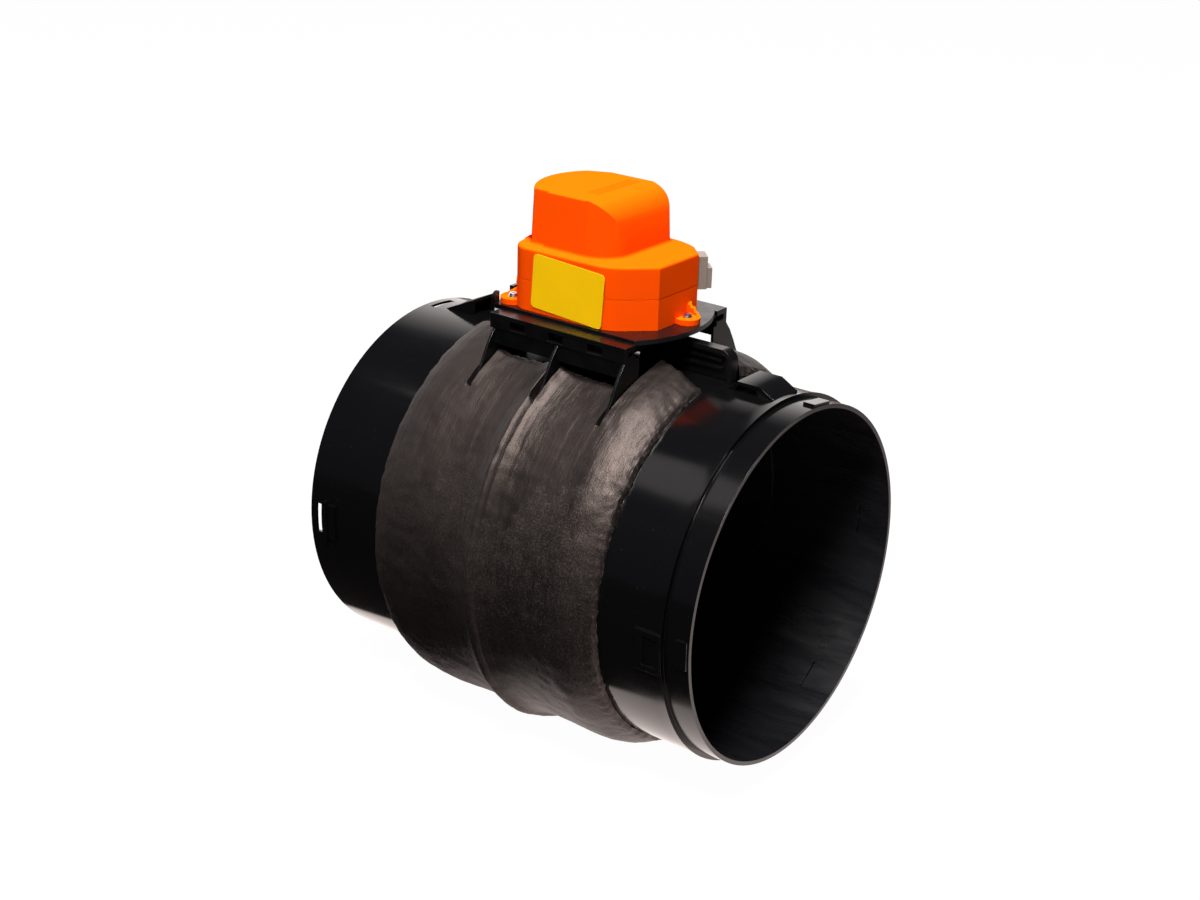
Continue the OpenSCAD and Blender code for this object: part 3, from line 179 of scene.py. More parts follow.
class Shade:
    """Builds one node material on object coordinates."""

    def __init__(self, name, metallic=0.0, roughness=0.5, colour=(0.5, 0.5, 0.5), **sockets):
        self.material = bpy.data.materials.new(name)
        self.material.use_nodes = True
        self.tree = self.material.node_tree
        self.shader = self.tree.nodes["Principled BSDF"]
        self.where = self.tree.nodes.new("ShaderNodeTexCoord").outputs["Object"]
        self.set("Metallic", metallic)
        self.set("Roughness", roughness)
        self.set("Base Color", (*colour, 1))
        for socket, value in sockets.items():
            self.set(socket.replace("_", " "), value)
        self.material.diffuse_color = (*colour, 1)

    def set(self, socket, value):
        self.shader.inputs[socket].default_value = value

    def add(self, kind, **values):
        node = self.tree.nodes.new("ShaderNode" + kind)
        for name, value in values.items():
            setattr(node, name, value)
        return node

    def link(self, source, target):
        self.tree.links.new(source, target)
        return source

    def mapped(self, stretch=(1, 1, 1), turn=(0, 0, 0), shift=(0, 0, 0)):
        node = self.add("Mapping")
        node.inputs["Scale"].default_value = stretch
        node.inputs["Rotation"].default_value = turn
        node.inputs["Location"].default_value = shift
        self.link(self.where, node.inputs["Vector"])
        return node.outputs["Vector"]

    def noise(self, scale, detail=4, rough=0.5, where=None, distortion=0.0):
        node = self.add("TexNoise")
        node.inputs["Scale"].default_value = scale
        node.inputs["Detail"].default_value = detail
        node.inputs["Roughness"].default_value = rough
        node.inputs["Distortion"].default_value = distortion
        self.link(where or self.where, node.inputs["Vector"])
        return node.outputs["Fac"]

    def cells(self, scale, where=None, feature="F1"):
        node = self.add("TexVoronoi", feature=feature)
        node.inputs["Scale"].default_value = scale
        self.link(where or self.where, node.inputs["Vector"])
        return node.outputs["Distance"]

    def span(self, source, low, high, to_low=0.0, to_high=1.0):
        node = self.add("MapRange")
        for name, value in (("From Min", low), ("From Max", high), ("To Min", to_low), ("To Max", to_high)):
            node.inputs[name].default_value = value
        self.link(source, node.inputs["Value"])
        return node.outputs["Result"]

    def maths(self, operation, a, b):
        node = self.add("Math", operation=operation)
        for socket, value in zip(node.inputs, (a, b)):
            if isinstance(value, (int, float)):
                socket.default_value = value
            else:
                self.link(value, socket)
        return node.outputs["Value"]

    def mix(self, share, a, b):
        node = self.add("Mix", data_type="RGBA")
        self.link(share, node.inputs["Factor"])
        for socket, value in ((node.inputs[6], a), (node.inputs[7], b)):
            if isinstance(value, tuple):
                socket.default_value = (*value[:3], 1)
            else:
                self.link(value, socket)
        return node.outputs[2]

    def bump(self, height, strength, distance, onto=None):
        node = self.add("Bump")
        node.inputs["Strength"].default_value = strength
        node.inputs["Distance"].default_value = distance
        self.link(height, node.inputs["Height"])
        if onto:
            self.link(onto, node.inputs["Normal"])
        return node.outputs["Normal"]

    def colour(self, source):
        self.link(source, self.shader.inputs["Base Color"])

    def rough(self, source):
        self.link(source, self.shader.inputs["Roughness"])

    def normal(self, source):
        self.link(source, self.shader.inputs["Normal"])


def scaled(colour, factor):
    return tuple(min(1.0, c * factor) for c in colour[:3])


def gloss_black(name, colour, roughness):
    """Glossy injection-moulded black: slow waves in the skin, faint streaks, dust, and a scuffed dull bore."""
    s = Shade(name, colour=colour, roughness=roughness)
    streaks = s.noise(34, 6, 0.62, s.mapped((0.12, 1, 1)))
    clouds = s.noise(16, 3, 0.5)
    both = s.maths("ADD", s.span(streaks, 0.35, 0.7, -0.05, 0.07), s.span(clouds, 0.3, 0.7, -0.04, 0.05))
    apart = s.add("SeparateXYZ")
    s.link(s.where, apart.inputs[0])
    squares = [s.maths("POWER", apart.outputs[axis], 2) for axis in "YZ"]
    out = s.maths("SQRT", s.maths("ADD", *squares), 0)
    inside = s.span(out, 98 * MM, 97.4 * MM)
    scuffs = s.span(s.noise(90, 6, 0.75, s.mapped((0.2, 1, 1), (0, 0, 0.25)), 0.6), 0.35, 0.75)
    scuffed = s.maths("MULTIPLY", inside, s.span(scuffs, 0, 1, 0.1, 0.22))
    s.rough(s.maths("ADD", s.maths("ADD", both, roughness), scuffed))
    dust = s.maths("MULTIPLY", s.span(s.noise(520, 2, 0.5), 0.69, 0.76), 0.22)
    skin = s.mix(dust, tuple(colour), scaled(colour, 9))
    film = s.mix(scuffs, (0.0045, 0.0043, 0.0055), (0.011, 0.0107, 0.0125))
    s.colour(s.mix(inside, skin, film))
    waves = s.bump(s.noise(11, 2, 0.4), 0.5, 0.6 * MM)
    s.normal(s.bump(s.noise(900, 2, 0.5), 0.08, 0.05 * MM, waves))
    return s.material


def satin_black(name, colour, roughness):
    """Finely grained black moulding with rubbed, paler places."""
    s = Shade(name, colour=colour, roughness=roughness)
    rub = s.span(s.noise(60, 6, 0.65), 0.45, 0.75)
    s.colour(s.mix(s.maths("MULTIPLY", rub, 0.6), tuple(colour), scaled(colour, 2.2)))
    s.rough(s.span(s.noise(90, 5, 0.6), 0.3, 0.7, roughness - 0.07, roughness + 0.09))
    grain = s.bump(s.noise(1500, 2, 0.5), 0.12, 0.06 * MM)
    s.normal(s.bump(s.noise(30, 2, 0.5), 0.25, 0.3 * MM, grain))
    return s.material


def orange_plastic(name, colour):
    """Bright orange moulding: faint flow clouds, a shallow skin texture, and a painted highlight tone that
    makes upward faces yellower, where the strong light falls from above.
    """
    s = Shade(name, colour=colour, roughness=0.4, Specular_IOR_Level=0.0)
    facing = s.add("SeparateXYZ")
    s.link(s.add("TexCoord").outputs["Normal"], facing.inputs[0])
    flow = s.span(s.noise(28, 4, 0.55), 0.3, 0.7)
    base = s.mix(flow, scaled(colour, 0.93), tuple(colour))
    # Painted highlight: faces that point up get a yellower tone, standing in for the strong light from above
    lit_top_tone = (colour[0], colour[1] * 1.85, colour[2] * 2)
    s.colour(s.mix(s.span(facing.outputs["Z"], 0.25, 0.9), base, lit_top_tone))
    s.rough(s.span(s.noise(70, 4, 0.6), 0.3, 0.7, 0.34, 0.46))
    skin = s.bump(s.noise(1300, 2, 0.5), 0.08, 0.05 * MM)
    s.normal(s.bump(s.noise(22, 2, 0.4), 0.25, 0.25 * MM, skin))
    return s.material


def foam_material(name, dark, pale):
    """Closed-cell foam with a satin skin: streaks round the duct above, coarse grain lower down,
    pits and pale crumbs along the cut edges."""
    s = Shade(name, colour=dark, roughness=0.5, Specular_IOR_Level=0.45)
    s.set("Specular Tint", (1.0, 0.8, 0.74, 1))
    apart = s.add("SeparateXYZ")
    s.link(s.where, apart.inputs[0])
    along, height = apart.outputs["X"], apart.outputs["Z"]
    patches = s.noise(26, 6, 0.62, s.mapped((1.6, 0.8, 0.8)))
    streaks = s.noise(120, 5, 0.7, s.mapped((2.2, 0.22, 0.22)), 0.5)
    grain = s.noise(1150, 3, 0.7)
    # The worn zone begins at a ragged line
    ripple = s.noise(45, 6, 0.7, s.mapped((1, 0.5, 0.5)))
    ragged = s.maths("ADD", height, s.span(ripple, 0.3, 0.7, -0.03, 0.03))
    worn = s.span(ragged, 0.058, 0.05)
    share = s.maths("ADD", s.span(patches, 0.36, 0.72, 0.0, 0.5), s.span(streaks, 0.42, 0.72, 0.0, 0.5))
    base = s.mix(share, tuple(dark), tuple(pale))
    depth = s.maths("ADD", s.maths("MULTIPLY", worn, 0.5), 0.1)
    rubbed = s.maths("MULTIPLY", s.span(grain, 0.5, 0.72), depth)
    end = s.maths("ABSOLUTE", s.maths("SUBTRACT", along, SHAFT_X - 1.5 * MM), 0)
    edge = s.maths("MULTIPLY", s.span(end, 73.2 * MM, 74.2 * MM), s.span(s.noise(420, 3, 0.6), 0.5, 0.66))
    fleck = s.span(s.noise(800, 2, 0.6), 0.72, 0.78)
    specks = s.maths("MAXIMUM", rubbed, s.maths("MULTIPLY", fleck, 0.6))
    crumbs = s.maths("MAXIMUM", s.maths("MULTIPLY", edge, 0.8), specks)
    # Painted shade: darker and plainer towards the inlet, standing in for light that falls off there; rougher
    # there too
    wavy = s.maths("ADD", along, s.span(patches, 0.3, 0.7, -0.01, 0.01))
    side = s.span(wavy, SHAFT_X - 45 * MM, SHAFT_X + 25 * MM, 0.3, 1)
    s.colour(s.mix(side, scaled(dark, 0.25), s.mix(crumbs, base, scaled(pale, 5))))
    dull = s.maths("ADD", s.maths("MULTIPLY", worn, 0.05), s.span(side, 0.3, 1, 0.16, 0))
    s.rough(s.maths("ADD", s.span(patches, 0.3, 0.7, 0.37, 0.5), dull))
    cells = s.add("Bump")
    cells.inputs["Distance"].default_value = 0.3 * MM
    s.link(grain, cells.inputs["Height"])
    s.link(s.span(worn, 0, 1, 0.22, 0.75), cells.inputs["Strength"])
    pits = s.bump(s.noise(260, 5, 0.7, s.mapped((1.2, 0.5, 0.5))), 0.3, 0.7 * MM, cells.outputs["Normal"])
    fine = s.bump(s.noise(430, 4, 0.65, s.mapped((1.5, 0.35, 0.35))), 0.16, 0.3 * MM, pits)
    s.normal(s.bump(streaks, 0.45, 0.9 * MM, fine))
    return s.material


def label_film(name, colour):
    """Printed film under a clear coat."""
    s = Shade(name, colour=colour, roughness=0.42, Specular_IOR_Level=0.15)
    s.set("Coat Weight", 0.12)
    s.set("Coat Roughness", 0.12)
    s.colour(s.mix(s.span(s.noise(40, 3, 0.5), 0.3, 0.7), scaled(colour, 0.93), tuple(colour)))
    s.rough(s.span(s.noise(220, 3, 0.5), 0.3, 0.7, 0.36, 0.5))
    s.normal(s.bump(s.noise(45, 2, 0.5), 0.15, 0.2 * MM))
    return s.material


def plated_steel(name, colour, roughness, grain=(1, 1, 1)):
    """Zinc-plated or rolled steel with fine scratches."""
    s = Shade(name, colour=colour, metallic=1.0, roughness=roughness)
    scratch = s.noise(700, 4, 0.6, s.mapped(grain))
    s.rough(s.span(scratch, 0.3, 0.7, roughness - 0.08, roughness + 0.12))
    s.colour(s.mix(s.span(s.noise(160, 4, 0.6), 0.35, 0.7), scaled(colour, 0.72), tuple(colour)))
    s.normal(s.bump(scratch, 0.15, 0.05 * MM))
    return s.material


def soft_plastic(name, colour, roughness=0.5, spread=0.12):
    """Plain moulded plastic with a slight mottle."""
    s = Shade(name, colour=colour, roughness=roughness)
    s.colour(s.mix(s.span(s.noise(75, 4, 0.6), 0.3, 0.7), scaled(colour, 1 - spread), tuple(colour)))
    s.rough(s.span(s.noise(130, 3, 0.5), 0.3, 0.7, roughness - 0.06, roughness + 0.08))
    s.normal(s.bump(s.noise(1200, 2, 0.5), 0.1, 0.05 * MM))
    return s.material


def seal_rubber(name):
    """Matt black rubber with bloom."""
    s = Shade(name, colour=(0.012, 0.012, 0.012), roughness=0.8)
    bloom = s.span(s.noise(120, 5, 0.6), 0.45, 0.75)
    s.colour(s.mix(bloom, (0.01, 0.01, 0.01), (0.035, 0.035, 0.036)))
    s.normal(s.bump(s.noise(900, 3, 0.6), 0.3, 0.1 * MM))
    return s.material


def board_laminate(name):
    """Green lacquered board with darker tracks under the lacquer."""
    s = Shade(name, colour=(0.012, 0.11, 0.035), roughness=0.35)
    tracks = s.add("TexBrick")
    tracks.inputs["Scale"].default_value = 260
    tracks.inputs["Mortar Size"].default_value = 0.03
    for socket, value in (("Color1", (0.010, 0.09, 0.028, 1)), ("Color2", (0.012, 0.12, 0.035, 1)),
                          ("Mortar", (0.03, 0.2, 0.07, 1))):
        tracks.inputs[socket].default_value = value
    s.link(s.where, tracks.inputs["Vector"])
    s.colour(tracks.outputs["Color"])
    s.normal(s.bump(s.noise(900, 2, 0.5), 0.1, 0.05 * MM))
    return s.material


MATERIALS = {}


def material(slot):
    """The finish of a record slot, built once."""
    if slot in MATERIALS:
        return MATERIALS[slot]
    look = bpy.context.scene.damper_finish
    makers = {
        "barrel_plastic": lambda n: gloss_black(n, look.barrel, look.barrel_gloss),
        "rail_plastic": lambda n: satin_black(n, look.rail, 0.3),
        "foam": lambda n: foam_material(n, look.foam_dark, look.foam_pale),
        "orange_plastic": lambda n: orange_plastic(n, look.housing),
        "label": lambda n: label_film(n, look.label),
        "screw_steel": lambda n: plated_steel(n, (0.78, 0.78, 0.8), 0.24),
        "sheet_steel": lambda n: plated_steel(n, (0.6, 0.61, 0.63), 0.34, (1, 0.05, 1)),
        "seal_rubber": seal_rubber,
        "blade_plastic": lambda n: satin_black(n, (0.012, 0.012, 0.013), 0.45),
        "gear_plastic": lambda n: soft_plastic(n, (0.82, 0.79, 0.7), 0.45, 0.08),
        "brass": lambda n: plated_steel(n, (0.78, 0.56, 0.25), 0.28),
        "board": board_laminate,
        "switch_plastic": lambda n: soft_plastic(n, (0.02, 0.02, 0.024), 0.5, 0.3),
        "plunger_plastic": lambda n: soft_plastic(n, (0.6, 0.04, 0.02), 0.4),
        "socket_plastic": lambda n: soft_plastic(n, look.socket, 0.42, 0.07),
    }
    MATERIALS[slot] = makers[slot](slot)
    return MATERIALS[slot]


SLOT_OF = {p["node"]: p["material_slot"] for p in frame["record"]["subparts"]}


def paint(obj, slot):
    obj.data.materials.clear()
    obj.data.materials.append(material(slot))
    return obj


# Modelling helpers


def deselect():
    for other in bpy.context.view_layer.objects:
        other.select_set(False)


def take(obj):
    """Makes obj the only selected and the active object."""
    deselect()
    obj.hide_viewport = False
    obj.select_set(True)
    bpy.context.view_layer.objects.active = obj
    return obj


def modify(obj, kind, **values):
    """Adds a modifier with the given values and applies it."""
    take(obj)
    modifier = obj.modifiers.new(kind.title(), kind)
    for name, value in values.items():
        setattr(modifier, name, value)
    bpy.ops.object.modifier_apply(modifier=modifier.name)
    return obj


def smooth(obj, angle=35):
    take(obj)
    bpy.ops.object.shade_smooth_by_angle(angle=math.radians(angle))
    return obj


def settle(obj, body, slot, *nodes):
    """Puts a finished piece's place into its mesh, paints it and ties it to its body."""
    take(obj)
    bpy.ops.object.transform_apply(location=True, rotation=True, scale=True)
    paint(obj, slot)
    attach(obj, body)
    if nodes:
        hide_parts(*nodes)
    deselect()
    return obj


def mesh_object(name, points, faces):
    mesh = bpy.data.meshes.new(name)
    mesh.from_pydata(points, [], faces)
    obj = bpy.data.objects.new(name, mesh)
    bpy.context.scene.collection.objects.link(obj)
    return obj


def copy_of(node, name, weld=0.002):
    """A merged copy of a CAD node's mesh, as a new object with its flat faces dissolved."""
    source = NODES[node]
    obj = bpy.data.objects.new(name, source.data.copy())
    bpy.context.scene.collection.objects.link(obj)
    take(obj)
    bpy.ops.object.mode_set(mode="EDIT")
    bpy.ops.mesh.select_all(action="SELECT")
    bpy.ops.mesh.remove_doubles(threshold=weld * MM)
    bpy.ops.mesh.dissolve_limited(angle_limit=math.radians(0.4))
    bpy.ops.object.mode_set(mode="OBJECT")
    return obj


@contextmanager
def editing(obj):
    """Edit mode on one piece with nothing selected; gives its edit mesh."""
    take(obj)
    bpy.ops.object.mode_set(mode="EDIT")
    bpy.ops.mesh.select_mode(type="EDGE")
    bpy.ops.mesh.select_all(action="DESELECT")
    yield bmesh.from_edit_mesh(obj.data)
    bpy.ops.object.mode_set(mode="OBJECT")


def centred(point):
    """A point of a mesh in millimetres from the shaft's axis."""
    return Vector(((point.x - SHAFT_X) / MM, point.y / MM, point.z / MM))


def soften(obj, width, segments=2, angle=34, where=None, clamp=False):
    """Rounds the sharp edges whose two ends pass the test."""
    with editing(obj) as mesh:
        limit = math.radians(angle)
        for edge in mesh.edges:
            if len(edge.link_faces) == 2 and edge.calc_face_angle(0) > limit:
                if where is None or all(where(centred(v.co)) for v in edge.verts):
                    edge.select = True
        bmesh.update_edit_mesh(obj.data)
        bpy.ops.mesh.bevel(offset=width * MM, segments=segments, profile=0.5, affect="EDGES",
                           clamp_overlap=clamp, miter_outer="ARC", loop_slide=False)
    return obj


def pick(mesh, obj, where):
    """Selects the vertices of the edit mesh that pass the test."""
    bpy.ops.mesh.select_mode(type="VERT")
    for vert in mesh.verts:
        vert.select = where(centred(vert.co))
    mesh.select_flush(True)
    bmesh.update_edit_mesh(obj.data)


def rounded(node, name, width, body, angle=34, segments=2, weld=0.002, steps=()):
    """Stands in for a CAD node with its sharp edges rounded off, large radii first."""
    return finish_rounded(copy_of(node, name, weld), node, width, body, angle, segments, steps)


def finish_rounded(obj, node, width, body, angle=34, segments=2, steps=()):
    for step in steps:
        soften(obj, *step)
    if width:
        soften(obj, width, segments, angle, clamp=True)
    smooth(obj, angle)
    modify(obj, "WEIGHTED_NORMAL", keep_sharp=True, weight=80)
    return settle(obj, body, SLOT_OF[node], node)


# Rounded mouldings


# Heights of the case's levels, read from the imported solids
PART_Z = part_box("case_cover")[0].z / MM
SHELF_Z = PART_Z + 17.15
DOME_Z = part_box("case_cover")[1].z / MM - 0.4
# Heights and places below are in millimetres from the shaft
GRIP_RISE = 0.14
EAR_TOP_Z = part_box("case_base")[0].z / MM + 2.9
EAR_R = 7.1
EARS = ((46.2, 7.0), (-44.0, -27.0))
CASE_SIDE = 43.2
# How far from the case's side a part of an ear's thin wall begins, and how much of its height stays
EAR_SWEEP = ((1.0, 0.62), (3.2, 0.42), (5.6, 0.3))
# The ribbed box's middle, and how much shorter it is than its solid
BOX_MIDDLE_Y = 12
BOX_CUT = 11.5
# Radius at which the ejector marks sit in the outlet's mouth
MOUTH_R = 95.78


def on_foot(p):
    """The dome's foot on the shelf."""
    return abs(p.z - SHELF_Z) < 0.15 and -38.8 < p.x < 22.4 and -29 < p.y < 30


def on_shelf(p):
    """The shelf's outer edge."""
    return abs(p.z - SHELF_Z) < 0.15 and not on_foot(p)


def on_dome_top(p):
    """The dome's upper outline."""
    return abs(p.z - DOME_Z) < 0.1 and (abs(p.y) > 26 or p.x < -16)


def on_base_top(p):
    """The base's upper rim, which shows as a thin line under the cover."""
    return abs(p.z - PART_Z) < 0.2 and (abs(p.y) > 24 or abs(p.x) > 34)


def on_ear_wall(p, ear, start):
    """The thin wall of a screw ear, from some way outside the case's side."""
    near = (p.x - ear[0]) ** 2 + (p.y - ear[1]) ** 2 < EAR_R ** 2
    return near and 0.2 < p.z - EAR_TOP_Z < 8 and abs(p.x) > CASE_SIDE + start


class DAMPER_OT_case(bpy.types.Operator):
    """Round the orange case and the wiring socket"""

    bl_idname = "damper.case"
    bl_label = "Motor case"

    def execute(self, context):
        cover = copy_of("case_cover", "case_cover_soft", 0.12)
        with editing(cover) as mesh:
            # The grip strip's ribs stand only a little proud
            pick(mesh, cover, lambda p: p.z > DOME_Z + 0.3)
            bpy.ops.transform.resize(value=(1, 1, 0), center_override=(SHAFT_X, 0, (DOME_Z + GRIP_RISE) * MM))
        finish_rounded(cover, "case_cover", 0.3, "motor_case", steps=(
            (2.2, 4, 34, on_foot), (1.6, 4, 34, on_shelf), (1.2, 4, 34, on_dome_top)))
        base = copy_of("case_base", "case_base_soft", 0.1)
        # The thin walls of the screw ears sweep down from points beside the case
        for ear in EARS:
            for start, share in EAR_SWEEP:
                with editing(base) as mesh:
                    pick(mesh, base, lambda p: on_ear_wall(p, ear, start))
                    bpy.ops.transform.resize(value=(1, 1, share), center_override=(SHAFT_X, 0, EAR_TOP_Z * MM))
        finish_rounded(base, "case_base", 0.3, "motor_case", steps=((0.7, 2, 34, on_base_top),))
        rounded("wiring_socket", "wiring_socket_soft", 0.5, "motor_case", segments=3)
        return {"FINISHED"}


class DAMPER_OT_mount(bpy.types.Operator):
    """Round the rails, the motor plate and the ribbed box"""

    bl_idname = "damper.mount"
    bl_label = "Motor mount"

    def execute(self, context):
        rounded("front_rail", "front_rail_soft", 0.4, "barrel")
        rounded("rear_rail", "rear_rail_soft", 0.4, "barrel")
        rounded("motor_plate", "motor_plate_soft", 0.5, "motor_case", weld=0.15)
        box = copy_of("ribbed_box", "ribbed_box_soft")
        with editing(box) as mesh:
            # The foam begins right behind the box's front
            pick(mesh, box, lambda p: p.y > BOX_MIDDLE_Y)
            bpy.ops.transform.translate(value=(0, -BOX_CUT * MM, 0))
        finish_rounded(box, "ribbed_box", 0.6, "barrel", segments=3)
        return {"FINISHED"}


def bore_mark(name, x, angle, radius):
    """A ring left by an ejector pin inside the outlet's mouth."""
    a = math.radians(angle)
    bore = MOUTH_R * MM
    bpy.ops.object.select_all(action="DESELECT")
    bpy.ops.mesh.primitive_cylinder_add(
        vertices=32, radius=radius * MM, depth=0.5 * MM,
        location=(SHAFT_X + x * MM, bore * math.cos(a), bore * math.sin(a)), rotation=(a + math.pi / 2, 0, 0))
    mark = bpy.context.object
    mark.name = name
    with editing(mark) as mesh:
        bpy.ops.mesh.select_mode(type="FACE")
        for face in mesh.faces:
            face.select = len(face.verts) > 4 and face.normal.z > 0.9
        bmesh.update_edit_mesh(mark.data)
        bpy.ops.mesh.inset(thickness=0.35 * MM, depth=0)
        bpy.ops.mesh.inset(thickness=0.15 * MM, depth=-0.3 * MM)
    smooth(mark)
    return settle(mark, "barrel", "barrel_plastic")


class DAMPER_OT_barrel(bpy.types.Operator):
    """Round the barrel's two collars and mark the outlet's bore"""

    bl_idname = "damper.barrel"
    bl_label = "Barrel"

    def execute(self, context):
        rounded("inlet_collar", "inlet_collar_soft", 0.35, "barrel", weld=0.1)
        rounded("outlet_collar", "outlet_collar_soft", 0.35, "barrel", weld=0.1)
        bore_mark("ejector_mark_high", 109.5, 1.5, 1.5)
        bore_mark("ejector_mark_low", 108.0, -45.5, 2.2)
        return {"FINISHED"}


# Foam wrap

FOAM_PROFILE = (
    (-76.0, 100.3), (-75.4, 103.4), (-73.2, 106.4), (-70.0, 108.4), (-66.0, 110.0), (-61.0, 111.2),
    (-54.0, 111.8), (-47.0, 111.9), (-38.0, 111.2), (-28.0, 110.4), (-18.0, 110.2), (-10.0, 111.0),
    (-6.0, 112.6), (-3.0, 114.3), (-1.0, 114.9), (0.8, 114.2), (2.5, 112.4), (4.5, 111.4), (8.0, 110.2),
    (14.0, 109.3), (22.0, 109.1), (32.0, 109.6), (42.0, 110.3), (50.0, 110.7), (54.0, 110.6), (57.0, 110.1),
    (60.0, 109.3), (63.0, 108.1), (66.0, 106.7), (69.0, 105.2), (71.2, 104.0), (72.4, 103.0), (73.0, 100.3))


def profile_radius(x):
    """Outer radius of the foam at x millimetres from the shaft."""
    for (x0, r0), (x1, r1) in zip(FOAM_PROFILE, FOAM_PROFILE[1:]):
        if x <= x1:
            t = max(0.0, min(1.0, (x - x0) / (x1 - x0)))
            return r0 + (r1 - r0) * t
    return FOAM_PROFILE[-1][1]


def build_foam():
    sizes = bpy.context.scene.damper_foam
    inner = 100.2
    trim = 36.5
    rail_left, rail_right = -44.8, 46.0
    gussets = (-41.4, 1.3, 44.6)
    # Columns crowd where the profile turns and at the slits
    columns = []
    for k in range(sizes.rows + 1):
        columns.append(-76 + 149 * k / sizes.rows)
    for g in gussets:
        columns += [g + d for d in (-3.2, -2.0, -1.6, -1.2, -0.8, 0.8, 1.2, 1.6, 2.0, 3.2)]
    for edge in (rail_left, rail_right):
        columns += [edge - 0.02, edge + 0.02]
    columns += [-75.7, -74.6, 72.2, 72.8]
    columns = sorted(set(round(c, 3) for c in columns))

    def ends(x):
        if rail_left < x < rail_right:
            front = 90 + math.degrees(math.asin(trim / 106))
            back = 90 - math.degrees(math.asin(trim / 106))
        elif x > 0:
            front = 94.5 + (x - rail_right) * 0.17
            back = 85.0 - (x - rail_right) * 0.05
        else:
            front, back = 98.5, 78.5
        return front, 360 + back

    turns = sizes.turns
    points = []
    for layer in (0, 1):
        for x in columns:
            front, back = ends(x)
            wobble = sizes.fray / MM * noise.noise(Vector((x * 0.35, 3.1, 7.7)))
            for i in range(turns + 1):
                a = math.radians(front + wobble + (back - front - 2 * wobble) * i / turns)
                y0, z0 = math.cos(a), math.sin(a)
                if layer:
                    points.append(((x * MM) + SHAFT_X, inner * MM * y0, inner * MM * z0))
                    continue
                r = profile_radius(x)
                body = min(1.0, (r - inner) / 6)
                where = Vector((x * 0.02, y0 * 2.2, z0 * 2.2))
                r += body * sizes.lump / MM * (noise.noise(where) * 1.6
                                               + 0.5 * noise.noise(where * 5 + Vector((5, 2, 1))))
                fine = noise.noise(Vector((x * 0.16, y0 * 22, z0 * 22)) + Vector((9, 4, 3)))
                r += 0.22 * body * fine
                near = min(x + 76, 73 - x)
                ragged = max(0.0, 1 - near / 8)
                r += ragged * sizes.fray / MM * 0.8 * noise.noise(Vector((x * 0.5, y0 * 40, z0 * 40)))
                y, z = r * y0, r * z0
                # The slits round the gussets, with pushed-up lips
                if z0 > 0 and abs(y) < 66.5:
                    for g in gussets:
                        d = abs(x - g)
                        fade = max(0.0, min(1.0, (66.5 - abs(y)) / 1.5))
                        if d < 1.3:
                            r = r - fade * 8.0
                        elif d < 6:
                            r += fade * 0.7 * (1 - (d - 1.3) / 4.7)
                # Ends stay low where they are cut
                edge = min(i, turns - i) / turns * (back - front)
                if edge < 3.2:
                    r = inner + (r - inner) * (0.35 + 0.65 * math.sin(math.pi / 2 * edge / 3.2))
                shift = 0.0
                if ragged:
                    shift = sizes.fray / MM * ragged * noise.noise(Vector((2.2, y0 * 14, z0 * 14)))
                points.append(((x + shift) * MM + SHAFT_X, r * MM * y0, r * MM * z0))
    n, rows = turns + 1, len(columns)
    faces = []
    for layer in (0, 1):
        base = layer * n * rows
        for c in range(rows - 1):
            for i in range(turns):
                here, beside = base + c * n + i, base + (c + 1) * n + i
                quad = (here, beside, beside + 1, here + 1)
                faces.append(quad if layer == 0 else quad[::-1])
    top = n * rows
    for i in range(turns):
        faces.append((i, i + 1, top + i + 1, top + i))
        last = (rows - 1) * n
        faces.append((last + i + 1, last + i, top + last + i, top + last + i + 1))
    for c in range(rows - 1):
        a, b = c * n, (c + 1) * n
        faces.append((b, a, top + a, top + b))
        faces.append((a + turns, b + turns, top + b + turns, top + a + turns))
    foam = mesh_object("foam_sheet", points, faces)
    take(foam)
    bpy.ops.object.mode_set(mode="EDIT")
    bpy.ops.mesh.select_all(action="SELECT")
    bpy.ops.mesh.normals_make_consistent(inside=False)
    bpy.ops.object.mode_set(mode="OBJECT")
    smooth(foam, 50)
    settle(foam, "barrel", "foam", "foam_wrap")


class DAMPER_OT_foam(bpy.types.Operator):
    """Make the foam sheet that is wrapped round the barrel"""

    bl_idname = "damper.foam"
    bl_label = "Foam wrap"

    def execute(self, context):
        build_foam()
        return {"FINISHED"}


class DAMPER_OT_finishes(bpy.types.Operator):
    """Give every CAD node its finish and smooth its round faces"""

    bl_idname = "damper.finishes"
    bl_label = "Finishes"

    def execute(self, context):
        for name, node in NODES.items():
            paint(node, SLOT_OF[name])
            take(node)
            bpy.ops.object.shade_smooth_by_angle(angle=math.radians(28))
        deselect()
        return {"FINISHED"}


def area_light(name, direction, distance, size, radiance, colour=(1, 1, 1)):
    """A rectangular light that faces the damper from a direction, with a given radiance."""
    light = bpy.data.lights.new(name, "AREA")
    light.shape = "RECTANGLE"
    light.size, light.size_y = size
    light.energy = radiance * size[0] * size[1] * math.pi
    light.color = colour
    lamp = bpy.data.objects.new(name, light)
    bpy.context.scene.collection.objects.link(lamp)
    target = Vector((SHAFT_X, 0, 0.06))
    lamp.location = target + Vector(direction).normalized() * distance
    lamp.rotation_euler = (target - lamp.location).to_track_quat("-Z", "Y").to_euler()
    return lamp


